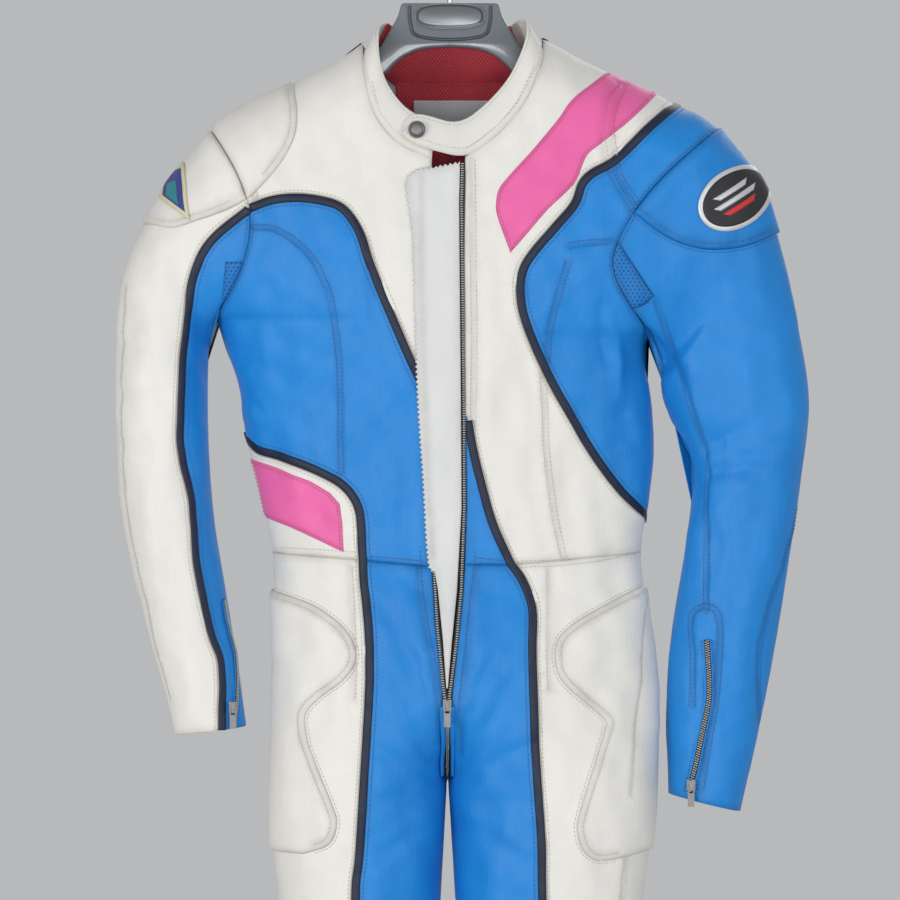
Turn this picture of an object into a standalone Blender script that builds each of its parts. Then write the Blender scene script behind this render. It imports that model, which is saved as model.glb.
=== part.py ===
"""A one-piece motorcycle race suit on its hanger, in metres, +Z up, front facing -Y.

The cloth is four hollow forms: two half bodies, each a half trunk running down into a leg, and
two sleeves. Each form is known by its half depth over the plan of the suit seen from the front,
and each panel is the part of the form's wall that its pattern outline cuts out. Outlines are in
millimetres: x from the centre, z down from the hanger's neck.
"""

import math

import bmesh
import bpy
import numpy as np

MM = 0.001
NECK_DROP = 130  # from the hook's inner top, which is the origin, down to the hanger's neck
WALL = 1.6
SEAM = 0.15  # half of the gap between two panels
LIFT = 0.4  # what lies on a panel stays this far off it
BAND_WIDTH = 8.6
SHOULDER_ROLL = 62  # how far below the ridge the shoulder reaches its full depth
CHEST_FLAT = 2.3  # exponent of the trunk's section, 2 is an ellipse
HIP, CROTCH, ANKLE = 700, 785, 1470
RIDGE_BLEND = 330  # below this the rows of the trunk are level
EXACT_FAILS = ("back_left_side",)  # panels that the exact Boolean leaves empty or open
RIDGE_ROWS = (20, 24, 34, 52, 80, 130, 200, 265)  # closer where the shoulder rolls
BODY_ROWS = (330, 338, 352, 400, 460, 520, 580, 640, 700)
ARMHOLE_POINTS = 9
REACH = 400  # past any silhouette
END_STEP = 0.25  # a form's open ends reach this much further for each mm its surface moves in

WHITE = (0.74, 0.73, 0.69)
BLUE = (0.03, 0.22, 0.6)
NAVY = (0.02, 0.028, 0.06)
PINK = (0.87, 0.2, 0.45)
RED = (0.45, 0.03, 0.06)
GREY = (0.1, 0.12, 0.14)
STEEL = (0.5, 0.5, 0.5)

# Silhouette of each half: columns x, z. The first rows are the line that the armhole spans.
OUTER = {
    "right": ((-239, 129), (-236, 318), (-229, 339), (-213, 385), (-207, 430), (-193, 484),
              (-180, 545), (-178, 590), (-177, 665), (-178, 725), (-179, 846), (-173, 900),
              (-162, 1060), (-150, 1250), (-132, 1470)),
    "left": ((271, 126), (202, 335), (195, 352), (202, 395), (206, 450), (199, 507), (193, 545),
             (195, 591), (204, 645), (207, 708), (206, 809), (199, 866), (195, 900),
             (184, 1060), (168, 1250), (148, 1470)),
}
# Inner edge of each leg, below the crotch: columns x, z.
INNER = {
    "right": ((-3, 785), (-9, 900), (-22, 1060), (-30, 1250), (-42, 1470)),
    "left": ((-2, 785), (5, 900), (26, 1060), (42, 1250), (56, 1470)),
}
# Top of the shoulders, from the neck outwards: columns x, z.
RIDGE = {
    "right": ((0, 24), (-80, 34), (-106, 54), (-163, 83), (-200, 100), (-232, 118), (-239, 129)),
    "left": ((0, 24), (83, 30), (123, 52), (158, 69), (221, 99), (247, 110), (271, 126)),
}
CENTRE_X = -2.5
# Half depth of the trunk and legs: columns z, front, back.
DEPTH = ((20, 62, 66), (130, 72, 80), (230, 84, 88), (330, 84, 84), (450, 72, 72), (560, 70, 74),
         (650, 82, 92), (720, 84, 96), (785, 80, 88), (900, 77, 80), (1060, 66, 66),
         (1250, 58, 64), (1470, 44, 44))
# Armholes: half depth at the seam, and how far it scoops into the trunk, most at this share down.
ARMHOLE = {"right": (58, 38, 0.5), "left": (56, 62, 0.70)}
# Sleeves from the armhole to the cuff: columns outer x, outer z, inner x, inner z, half depth.
SLEEVE = {
    "right": ((-292, 198, -241, 334, 56), (-326, 262, -243, 354, 58), (-337, 340, -244, 400, 58),
              (-337, 420, -243, 450, 56), (-333, 500, -238, 515, 52), (-319, 576, -228, 579, 47),
              (-300, 650, -216, 651, 42), (-276, 737, -205, 728, 38)),
    "left": ((313, 184, 214, 358, 52), (335, 250, 213, 384, 50), (350, 320, 222, 418, 48),
             (362, 400, 240, 450, 46), (354, 480, 244, 490, 44), (342, 560, 236, 555, 42),
             (330, 636, 223, 636, 40), (316, 710, 218, 705, 38), (293, 814, 220, 796, 36)),
}

# Seam lines that neighbouring outlines share: columns x, z.
ZIP_RIGHT = ((-18, 150), (-18, 566), (-14, 625), (-7, 690), (-6.2, 722), (-6.2, 779))
ZIP_LEFT = ((15, 150), (14, 258), (15, 420), (16, 507), (13, 590), (8, 640), (1, 700),
            (0.6, 722), (0.6, 779))
NECK_RIGHT = ((-89, 40), (-84, 79), (-77, 107), (-65, 127), (-48, 144), (-18, 158))
NECK_LEFT = ((15, 158), (44, 136), (67, 112), (80, 89), (91, 64), (94, 40))
ARCH = ((-199, 209), (-177, 201), (-149, 199), (-126, 202), (-109, 208), (-97, 221), (-88, 238),
        (-80, 264), (-65, 301), (-40, 359), (-24, 394), (-18, 404))
WAIST_BAND = ((-215, 434), (-203, 440), (-192, 450), (-163, 459), (-134, 470), (-111, 482),
              (-97, 496), (-90, 513), (-88, 545), (-87, 560))
THIGH_RIGHT = ((-87, 560), (-86, 579), (-81, 628), (-80, 680), (-83, 737), (-90, 852), (-94, 900),
               (-90, 1060), (-88, 1250), (-86, 1470))
SHOULDER_BAND = ((232, 96), (227, 103), (201, 126), (178, 149), (161, 164), (141, 175),
                 (131, 186), (125, 204), (106, 227), (86, 250), (73, 270), (70, 293), (76, 324),
                 (100, 379), (138, 445), (164, 482), (184, 504), (210, 526))
WEDGE_BAND = ((15, 415), (18, 421), (23, 450), (32, 487), (43, 525), (57, 556), (61, 564))
THIGH_LEFT = ((61, 564), (72, 579), (82, 608), (82, 651), (85, 751), (91, 837), (92, 900),
              (100, 1060), (103, 1250), (103, 1470))
SLEEVE_BAND = ((-198, 209), (-223, 227), (-243, 247), (-255, 273), (-261, 301), (-266, 344),
               (-269, 402), (-269, 450), (-259, 502), (-252, 576), (-239, 634), (-230, 665),
               (-228, 740))
PINK_SHOULDER = ((159, 66), (130, 80), (109, 95), (95, 138), (75, 164), (57, 181), (47, 195),
                 (46, 209), (52, 230), (60, 253), (77, 235), (98, 212), (115, 195), (126, 175),
                 (132, 161), (141, 149), (161, 138), (187, 115), (205, 95))
PINK_WAIST = ((-206, 460), (-177, 470), (-140, 483), (-120, 494), (-110, 506), (-107, 522),
              (-106, 552), (-134, 539), (-163, 526), (-210, 508))
HIP_PAD = {
    "right": ((-250, 591), (-178, 591), (-160, 596), (-134, 606), (-111, 622), (-97, 639),
              (-93, 659), (-106, 680), (-129, 697), (-143, 714), (-143, 731), (-137, 754),
              (-117, 803), (-112, 823), (-120, 843), (-146, 853), (-250, 852)),
    "left": ((250, 580), (192, 586), (172, 596), (143, 611), (120, 625), (106, 642), (105, 665),
             (115, 685), (152, 717), (153, 731), (146, 754), (129, 809), (126, 829), (132, 849),
             (149, 860), (178, 856), (250, 843)),
}
SHOULDER_PAD = {
    "right": ((-157, 60), (-157, 82), (-152, 115), (-157, 143), (-175, 172), (-200, 198),
              (-226, 212), (-255, 222), (-278, 228), (-301, 224), (-330, 218), (-330, 60)),
    "left": ((170, 60), (152, 143), (156, 155), (161, 172), (169, 195), (184, 214), (207, 232),
             (230, 244), (258, 250), (287, 248), (310, 241), (350, 222), (350, 60)),
}
GUSSET = {
    "right": ((-216, 300), (-206, 304), (-204, 275), (-208, 262), (-224, 262), (-228, 300)),
    "left": ((166, 240), (204, 296), (198, 303), (169, 314), (150, 300), (150, 250)),
}
FLAP = ((8, 163), (-14, 166), (-40, 178), (-44, 186), (-37, 236), (-35, 316), (-32, 402),
        (-27, 479), (-22, 560), (-15.5, 572), (-12, 590), (-7, 640), (-3.8, 672), (-1.2, 672),
        (2, 640), (7, 590), (9.5, 507), (8.5, 420), (7.5, 258))
BACK_SEAM = {"right": ((-105, 20), (-100, 200), (-88, 400), (-82, 560), (-86, 900), (-88, 1470)),
             "left": ((105, 20), (100, 200), (88, 400), (82, 564), (92, 900), (103, 1470))}

# Nape: columns x from the centre line out, z.
NAPE = ((0, 88), (38, 82), (70, 62), (88, 44))
# Collar: columns share of the way round, lean towards the neck, rise above the seam.
COLLAR = ((0, 12, 34), (0.15, 15, 29), (0.32, 21, 25), (0.5, 6, 42), (0.68, 21, 25),
          (0.85, 15, 29), (1, 12, 34))
# The collar's left end runs on as a tab over the right end: columns x, z below, z above.
TAB = ((2, 154, 124), (-14, 150, 119), (-30, 145, 115), (-41, 140, 117), (-47, 134, 123))
TAB_OUT = 3.2
COLLAR_WALL = 2.2

NAPE_GAP = 1.25  # the lining stands off the leather
SNAP_AT, SNAP_RADIUS, SNAP_TALL = (-33, 131), 8.5, 2.2

# Hanger: plan outline of its neck on one side, top then underside, columns x, z.
HANGER_NECK = ((46, 0), (51, 14), (60, 28), (71, 46), (90, 57))
HANGER_UNDER = ((96, 92), (60, 66), (38, 50), (0, 44))
HANGER_ARM_DEEP = 34
HANGER_THICK = 12  # half
ARM_BELOW_RIDGE = 5
HOOK_RADIUS, HOOK_WIRE = 24, 3  # to the wire's inner side, and the wire's radius

# Cuff zips: columns x, z.
CUFF_ZIP = {"right": ((-228, 600), (-222, 630), (-218, 655), (-215, 684), (-216, 712)),
            "left": ((258, 642), (260, 694), (254, 728), (247, 763), (240, 792))}
CUFF_TAPE = 6
# Sliders: columns x, z of the middle, room left under it.
SLIDERS = {"main": (-2.8, 704, 0.4), "cuff_right": (-217.5, 708, -1.3),
           "cuff_left": (241.5, 786, -0.7)}
SLIDER_WIDE, SLIDER_TALL, SLIDER_THICK = 8.4, 11, 3
BRIDGE_WIDE, BRIDGE_HOLE, BRIDGE_GAP, BRIDGE_WALL = 3, 7, 3, 1.3
PULL_WIDE, PULL_LONG, PULL_THICK, PULL_HOLE, PULL_RIM = 6.6, 22, 1.4, 8.4, 1.1


def smooth(start, end, value):
    """0 before start, 1 after end, with no kink between."""
    t = np.clip((value - start) / (end - start), 0, 1)
    return t * t * (3 - 2 * t)


def spline(points, per_span):
    """A Catmull-Rom curve through the points, with per_span points for each stretch."""
    p = np.asarray(points, float)
    p = np.vstack([2 * p[0] - p[1], p, 2 * p[-1] - p[-2]])
    t = np.linspace(0, 1, per_span, endpoint=False)[:, None]
    rows = []
    for a, b, c, d in zip(p, p[1:], p[2:], p[3:]):
        rows.append(0.5 * (2 * b + (c - a) * t + (2 * a - 5 * b + 4 * c - d) * t**2
                           + (3 * b - a - 3 * c + d) * t**3))
    return np.vstack([*rows, p[-2:-1]])


def along(table, key, value):
    """Column `value` of a table, read at `key` in its last column, between its rows."""
    rows = np.asarray(table, float)
    order = np.argsort(rows[:, key])
    rows = rows[order]
    return lambda at: np.interp(at, rows[:, key], rows[:, value])


OUTER_X = {side: along(spline(OUTER[side][1:], 4), 1, 0) for side in OUTER}
INNER_X = {side: along(INNER[side], 1, 0) for side in INNER}
RIDGE_Z = {side: along(RIDGE[side], 0, 1) for side in RIDGE}
DEPTH_AT = {"front": along(spline(DEPTH, 3), 0, 1), "back": along(spline(DEPTH, 3), 0, 2)}


def outer_x(side, z):
    """The half's silhouette: the straight armhole line, then the body's own edge."""
    (x0, z0), (x1, z1) = OUTER[side][:2]
    line = x0 + (x1 - x0) * np.clip((z - z0) / (z1 - z0), 0, 1)
    return np.where(z < z1, line, OUTER_X[side](z))


def half_depth(side, face, x, z, d):
    """Half depth of a half body at x, z, with its wall moved out by d.

    Trunk: an oval section from the centre to the silhouette, which keeps the armhole's depth at
    its edge and rolls over at the shoulder ridge. Leg: an oval between its two edges.
    """
    sign = 1 if side == "left" else -1
    depth = DEPTH_AT[face](z) + d
    (_, top), (_, foot) = OUTER[side][:2]
    down = np.clip((z - top) / (foot - top), 0, 1)
    edge = np.where(z < foot, ARMHOLE[side][0] * np.sqrt(1 - down**2.5) + d, 0)
    reach = np.abs(outer_x(side, z) - CENTRE_X) + np.where(edge > 0, 0, d)
    u = np.clip(sign * (x - CENTRE_X) / reach, 0, 1)
    trunk = edge + (depth - edge) * np.sqrt(1 - u**CHEST_FLAT)
    below = np.clip((z - RIDGE_Z[side](x) + d) / SHOULDER_ROLL, 0, 1)
    trunk = trunk * np.sqrt(1 - (1 - below) ** 2)
    inner, outer = INNER_X[side](z), outer_x(side, z)
    s = np.clip((2 * x - inner - outer) / (np.abs(outer - inner) + 2 * d), -1, 1)
    leg = depth * np.sqrt(1 - np.abs(s) ** 2.2)
    to_leg = smooth(HIP, CROTCH, z)
    return trunk * (1 - to_leg) + leg * to_leg


def mesh_object(name, vertices, faces):
    """A new object in the scene, from vertices in metres."""
    mesh = bpy.data.meshes.new(name)
    mesh.from_pydata([tuple(v) for v in vertices], [], [tuple(f) for f in faces])
    mesh.update()
    thing = bpy.data.objects.new(name, mesh)
    bpy.context.collection.objects.link(thing)
    return thing


def face_out(thing):
    """Makes a closed mesh's faces point outwards."""
    edit = bmesh.new()
    edit.from_mesh(thing.data)
    bmesh.ops.recalc_face_normals(edit, faces=edit.faces)
    edit.to_mesh(thing.data)
    edit.free()


def place(x, y, z):
    """Suit millimetres, z down from the hanger's neck, to metres."""
    return np.stack([x * MM, y * MM, -(z + NECK_DROP) * MM], axis=-1)


def solid(name, outer, inner):
    """A closed wall between two grids of points, in suit millimetres, all its cells split along
    the same diagonal, so that walls made from the same grid stay apart."""
    rows, columns = outer.shape[:2]
    index = np.arange(rows * columns).reshape(rows, columns)
    a, b, c, d = index[:-1, :-1], index[1:, :-1], index[1:, 1:], index[:-1, 1:]
    halves = np.concatenate([np.stack([a, b, c], axis=-1).reshape(-1, 3),
                             np.stack([a, c, d], axis=-1).reshape(-1, 3)])
    rim = np.concatenate([index[0], index[1:, -1], index[-1, -2::-1], index[-2:0:-1, 0]])
    count, after = rows * columns, np.roll(rim, -1)
    sides = np.stack([rim, after, after + count, rim + count], axis=-1)
    points = np.vstack([outer.reshape(-1, 3), inner.reshape(-1, 3)])
    thing = mesh_object(name, place(*points.T), [*halves, *(halves[:, ::-1] + count), *sides])
    face_out(thing)
    return thing


def block(name, x, z, front, back):
    """A closed solid over a grid of the plan, from y = -front to y = back."""
    near = np.stack([x, -np.maximum(front, 0.05), z], axis=-1)
    far = np.stack([x, np.maximum(back, 0.05), z], axis=-1)
    thing = solid(name, near, far)
    thing.hide_render = True
    thing.display_type = "WIRE"
    return thing


def body_block(side, d):
    """A half body, filled, with its surface moved out by d."""
    sign = 1 if side == "left" else -1
    levels = np.concatenate([RIDGE_ROWS, BODY_ROWS,
                             np.linspace(HIP + 28, CROTCH, 4), np.linspace(840, ANKLE + 10, 5)])
    u = np.sin(np.linspace(0, math.pi / 2, 7))
    u[-1] = 1
    level, u = np.meshgrid(levels, u, indexing="ij")
    z = level.copy()
    for _ in range(4):
        edge = outer_x(side, z) + sign * d
        at_centre = smooth(CROTCH - 1, CROTCH, level)
        inner = CENTRE_X * (1 - at_centre) + (INNER_X[side](z) - sign * d) * at_centre
        across = (1 - np.cos(math.pi * np.arcsin(np.clip(u, 0, 1)) / (math.pi / 2))) / 2
        share = u * (1 - smooth(HIP, CROTCH, level)) + across * smooth(HIP, CROTCH, level)
        x = inner + share * (edge - inner)
        top = RIDGE_Z[side](x) - d
        fan = (RIDGE_BLEND - top) / (RIDGE_BLEND - levels[0])
        z = np.where(level < RIDGE_BLEND, top + (level - levels[0]) * fan, level)
    x = np.where((u == 0) & (level < CROTCH), CENTRE_X - (sign if d < 0 else -sign * 0.1), x)
    front = half_depth(side, "front", x, z, d)
    back = half_depth(side, "back", x, z, d)
    return block(f"form_{side}_{d}", x, z, front, back)


def armhole(side, count):
    """The armhole seam: a line from shoulder to underarm that scoops into the trunk."""
    (x0, z0), (x1, z1) = OUTER[side][:2]
    _, scoop, most = ARMHOLE[side]
    w = (1 - np.cos(np.linspace(0, math.pi, count))) / 2
    rise = np.sin(math.pi / 2 * np.minimum(w / most, 1))
    fall = np.cos(math.pi / 2 * np.clip((w - most) / (1 - most), 0, 1))
    inward = np.array([z1 - z0, -(x1 - x0)]) / math.hypot(x1 - x0, z1 - z0)
    if side == "left":
        inward = -inward
    line = np.outer(1 - w, (x0, z0)) + np.outer(w, (x1, z1))
    return line + np.outer(scoop * np.where(w < most, rise, fall), inward)


def sleeve_rings(side, d, count):
    """Key rings of a sleeve: arrays of x, z, front and back half depth for each ring."""
    start = armhole(side, count)
    out = -1 if side == "right" else 1
    rings = [(start[:, 0] + out * (2 * SEAM + END_STEP * d), start[:, 1],
              half_depth(side, "front", start[:, 0], start[:, 1], d),
              half_depth(side, "back", start[:, 0], start[:, 1], d))]
    s = -np.cos(np.linspace(0, math.pi, count))
    for ox, oz, ix, iz, depth in SLEEVE[side]:
        length = math.hypot(ix - ox, iz - oz)
        half = (length / 2 + d) / length
        share = 0.5 + s * half
        oval = (depth + d) * np.sqrt(np.clip(1 - s * s, 0, 1))
        rings.append((ox + (ix - ox) * share, oz + (iz - oz) * share, oval, oval))
    rings[-1][1][:] -= END_STEP * d
    return np.array(rings)


def sleeve_block(side, d):
    """A sleeve, filled, with its surface moved out by d."""
    rings = sleeve_rings(side, d, ARMHOLE_POINTS)
    x, z, front, back = rings.transpose(1, 0, 2)
    return block(f"sleeve_form_{side}_{d}", x, z, front, back)


def centre_block(face, d):
    """The middle of the front or the back neck, filled, across both halves."""
    levels = {"front": np.linspace(150, 790, 17), "back": np.linspace(64, 160, 5)}[face]
    z, x = np.meshgrid(levels, np.linspace(-64, 64, 9), indexing="ij")
    depth = np.where(x < CENTRE_X, half_depth("right", face, x, z, d),
                     half_depth("left", face, x, z, d))
    none = depth * 0
    front, back = (depth, none) if face == "front" else (none, depth)
    return block(f"centre_form_{face}_{d}", x, z, front, back)


FORMS = {}


def form(kind, side, d):
    """The filled form of this kind, made once."""
    key = (kind, side, d)
    if key not in FORMS:
        make = {"body": lambda: body_block(side, d), "sleeve": lambda: sleeve_block(side, d),
                "centre": lambda: centre_block(side, d)}
        FORMS[key] = make[kind]()
    return FORMS[key]


def inset(outline, by):
    """The outline moved inwards by a distance, corner by corner."""
    p = np.asarray(outline, float)
    keep = np.hypot(*(p - np.roll(p, 1, axis=0)).T) > 0.05
    p = p[keep]
    area = np.sum(p[:, 0] * np.roll(p[:, 1], -1) - np.roll(p[:, 0], -1) * p[:, 1])
    if area < 0:
        p = p[::-1]
    before = p - np.roll(p, 1, axis=0)
    after = np.roll(p, -1, axis=0) - p
    normals = []
    for step in (before, after):
        unit = step / np.hypot(*step.T)[:, None]
        normals.append(np.stack([-unit[:, 1], unit[:, 0]], axis=1))
    middle = normals[0] + normals[1]
    square = np.maximum(np.sum(middle * normals[0], axis=1), 0.4)
    return p + middle / square[:, None] * by


def prism(name, outline, y0, y1):
    """A plan outline pushed through from y0 to y1."""
    count = len(outline)
    near = place(outline[:, 0], np.full(count, y0), outline[:, 1])
    far = place(outline[:, 0], np.full(count, y1), outline[:, 1])
    ring = np.arange(count)
    after = np.roll(ring, -1)
    sides = np.stack([ring, after, after + count, ring + count], axis=-1)
    faces = [tuple(ring[::-1]), tuple(ring + count), *[tuple(f) for f in sides]]
    thing = mesh_object(name, np.vstack([near, far]), faces)
    face_out(thing)
    return thing


def material(thing, name, colour, roughness=0.5, metallic=0.0):
    """Gives the object its own Principled material."""
    made = bpy.data.materials.new(f"{thing.name}_{name}")
    made.use_nodes = True
    shader = made.node_tree.nodes["Principled BSDF"]
    shader.inputs["Base Color"].default_value = (*colour, 1)
    shader.inputs["Roughness"].default_value = roughness
    shader.inputs["Metallic"].default_value = metallic
    made.diffuse_color = (*colour, 1)
    thing.data.materials.append(made)
    return thing


def cut(thing, operation, other):
    """Adds a Boolean modifier."""
    step = thing.modifiers.new(operation.lower(), "BOOLEAN")
    step.operation = operation
    step.solver = "MANIFOLD" if thing.name in EXACT_FAILS else "EXACT"
    step.object = other


def piece(name, outline, kind, side, colour, face="front", over=0.0, wall=WALL, finish=0.5):
    """One panel: the part of a form's wall that the outline cuts out, with its outer face `over`
    above the form's surface."""
    away = -1 if face == "front" else 1
    y0, y1 = sorted((away * REACH, away * SEAM))
    thing = prism(name, inset(outline, SEAM), y0, y1)
    cut(thing, "INTERSECT", form(kind, side, over))
    cut(thing, "DIFFERENCE", form(kind, side, over - wall))
    return material(thing, "leather", colour, finish)


def strip(line, width):
    """The outline of a band of this width along a smooth line."""
    p = seam(line)
    step = np.gradient(p, axis=0)
    across = np.stack([-step[:, 1], step[:, 0]], axis=1) / np.hypot(*step.T)[:, None]
    return np.vstack([p + across * width / 2, (p - across * width / 2)[::-1]])


def seam(line):
    """A seam line's corners as an array."""
    return np.array(line, float)


def upto(points, z):
    """The part of a line above this level."""
    return points[points[:, 1] <= z]


def below(points, z):
    """The part of a line below this level."""
    return points[points[:, 1] >= z]


def join(*parts):
    """One outline from lines and single points, end to end."""
    return np.vstack([np.atleast_2d(np.asarray(part, float)) for part in parts])


def fronts():
    """Yoke, chest and waist panels, between neck, armholes, zip and waist."""
    arch, waist, zip_left = seam(ARCH), seam(WAIST_BAND), seam(ZIP_LEFT)
    hole = armhole("right", ARMHOLE_POINTS)
    meet = np.argmin(np.hypot(*(hole - arch[0]).T))
    arch = join(hole[meet], arch[1:])
    zip_waist = ZIP_RIGHT[1]
    piece("front_right_yoke", join(seam(NECK_RIGHT), arch[::-1],
                                   hole[:meet][::-1], (-240, 90), (-200, 5), (-89, 5)),
          "body", "right", WHITE)
    piece("front_right_chest", join(arch, zip_waist, waist[-1], waist[::-1][1:], (-300, 434),
                                    (-300, 318), hole[meet + 1:][::-1]), "body", "right", BLUE)
    piece("front_right_waist", join(waist, (-300, 545), (-300, 434)), "body", "right", WHITE)
    hole = armhole("left", ARMHOLE_POINTS)
    shoulder, wedge = seam(SHOULDER_BAND), seam(WEDGE_BAND)
    piece("front_left_centre",
          join(seam(NECK_LEFT), (94, 5), (232, 5), shoulder, (300, 526), (300, 545), wedge[-1],
               wedge[::-1][1:], upto(zip_left, 410)[1:][::-1]), "body", "left", WHITE)
    piece("front_left_chest", join(shoulder[::-1], (300, 96), hole[0], hole[1:], (300, 335),
                                   (300, 526)), "body", "left", BLUE)
    lower = below(upto(zip_left, 560), 418)
    piece("front_left_wedge", join(wedge, (14.6, 564), lower[::-1]), "body", "left", BLUE)


def legs():
    """Leg fronts, from the waist seam down."""
    right, left = seam(THIGH_RIGHT), seam(THIGH_LEFT)
    zip_right, zip_left = seam(ZIP_RIGHT), seam(ZIP_LEFT)
    piece("leg_right_front_outer", join(right, (-300, ANKLE), (-300, 545)), "body", "right", WHITE)
    piece("leg_right_front_inner", join(right, (60, ANKLE), (60, 779), (-2.9, 779.6), (-6.2, 779.2),
                                        below(zip_right, 566)[:-1][::-1]), "body", "right", BLUE)
    piece("leg_left_front_outer", join(left, (300, ANKLE), (300, 545)), "body", "left", WHITE)
    piece("leg_left_front_inner", join(left, (-60, ANKLE), (-60, 779), (-2.1, 779.6), (0.6, 779.2),
                                       below(zip_left, 590)[:-1][::-1], (14.6, 564)),
          "body", "left", BLUE)


def backs():
    """Centre and side panels of the back, the leg backs and the bands over their seams."""
    for side, sign in (("right", -1), ("left", 1)):
        line = seam(BACK_SEAM[side])
        hole = armhole(side, ARMHOLE_POINTS)
        waist = float(BACK_SEAM[side][3][1])
        top, leg = upto(line, waist), below(line, waist)
        centre = CENTRE_X
        nape = np.array(NAPE) * (sign, 1)
        nape[0, 0] = centre
        nape[-1] = NECK_RIGHT[0] if side == "right" else NECK_LEFT[-1]
        piece(f"back_{side}_centre", join(nape, nape[-1] * (1, 0) + (0, 5), top[0] * (1, 0) + (0, 5),
                                          top, (centre, waist)), "body", side, WHITE, "back")
        piece(f"back_{side}_side",
              join(top[0] * (1, 0) + (0, 5), top, (sign * 300, waist), (sign * 300, hole[-1][1]),
                   hole[::-1], hole[0] * (1, 0) + (0, 5)), "body", side, BLUE, "back")
        outer = join(leg, (sign * 300, ANKLE), (sign * 300, waist))
        inner = join(leg, (-sign * 60, ANKLE), (-sign * 60, CROTCH), (centre, CROTCH - 3),
                     (centre, waist))
        piece(f"leg_{side}_back_outer", outer, "body", side, WHITE, "back")
        piece(f"leg_{side}_back_inner", inner, "body", side, BLUE, "back")
        band = strip(BACK_SEAM[side], BAND_WIDTH)
        piece(f"band_back_{side}", band, "body", side, NAVY, "back", LIFT + 1.1, 1.1)


def bands():
    """Navy bands over the seams between colours."""
    over, wall = LIFT + 1.1, 1.1
    lines = (("band_arch", ARCH[:-1], "body", "right"), ("band_shoulder", SHOULDER_BAND, "body", "left"),
             ("band_waist_right", WAIST_BAND[:-1] + THIGH_RIGHT, "body", "right"),
             ("band_leg_left", WEDGE_BAND[1:-1] + THIGH_LEFT, "body", "left"),
             ("band_sleeve_right", SLEEVE_BAND, "sleeve", "right"))
    for name, line, kind, side in lines:
        piece(name, strip(line, BAND_WIDTH), kind, side, NAVY, "front", over, wall)


def patches():
    """Pink patches and padded hip panels."""
    pink = LIFT + 1.0
    piece("patch_shoulder", PINK_SHOULDER, "body", "left", PINK, "front", pink, 1.0)
    piece("patch_waist", PINK_WAIST, "body", "right", PINK, "front", pink, 1.0)
    for side in ("right", "left"):
        piece(f"pad_hip_{side}", HIP_PAD[side], "body", side, WHITE, "front", LIFT + 2.6, 2.6)


def sleeves():
    """Sleeve panels, shoulder pads and underarm gussets."""
    band = seam(SLEEVE_BAND)
    hole = armhole("right", ARMHOLE_POINTS)
    far = ((-400, 760), (-400, 90), (-199, 90))
    piece("sleeve_right_outer", join(band, (-228, 760), far), "sleeve", "right", WHITE)
    piece("sleeve_right_inner", join(band, (-228, 760), (-150, 760), (-150, 209)),
          "sleeve", "right", BLUE)
    whole_right = ((-420, 60), (-420, 900), (-120, 900), (-120, 60))
    whole_left = ((120, 60), (120, 900), (440, 900), (440, 60))
    piece("sleeve_right_back", whole_right, "sleeve", "right", WHITE, "back")
    piece("sleeve_left_front", whole_left, "sleeve", "left", BLUE)
    piece("sleeve_left_back", whole_left, "sleeve", "left", BLUE, "back")
    piece("pad_yoke_right", pad_part("right", "trunk"), "body", "right", WHITE, "front",
          LIFT + 2.4, 2.4)
    for side, colour in (("right", WHITE), ("left", BLUE)):
        piece(f"pad_shoulder_{side}", pad_part(side, "sleeve"), "sleeve", side, colour, "front",
              LIFT + 2.4, 2.4)
        piece(f"gusset_{side}", GUSSET[side], "sleeve", side, BLUE, "front", LIFT + 1.0, 1.0)


def pad_part(side, part):
    """The share of a shoulder pad that lies on the trunk, or on the sleeve."""
    pad = np.array(SHOULDER_PAD[side], float)
    hole = armhole(side, ARMHOLE_POINTS)
    sign = 1 if side == "left" else -1
    edge = np.interp(pad[:, 1], hole[:, 1], hole[:, 0])
    inside = sign * pad[:, 0] < sign * edge
    outline = pad[inside]
    cross = int(np.nonzero(~inside)[0][0])
    a, b = pad[cross - 1], pad[cross]
    ts = np.linspace(0, 1, 200)[:, None]
    steps = a + (b - a) * ts
    gap = np.abs(steps[:, 0] - np.interp(steps[:, 1], hole[:, 1], hole[:, 0]))
    meet = steps[np.argmin(gap)]
    shared = hole[hole[:, 1] < meet[1] - 1]
    if part == "trunk":
        top = hole[0] + np.array((0, -60))
        return join(outline, meet, shared[::-1], top)
    rest = pad[cross:-1]
    return join(meet, rest, (sign * 400, rest[-1][1]), (sign * 400, 60), hole[0] + (0, -60), shared)


def body_y(side, face, x, z, d=0.0):
    away = -1 if face == "front" else 1
    return away * half_depth(side, face, np.asarray(x, float), np.asarray(z, float), d)


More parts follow.
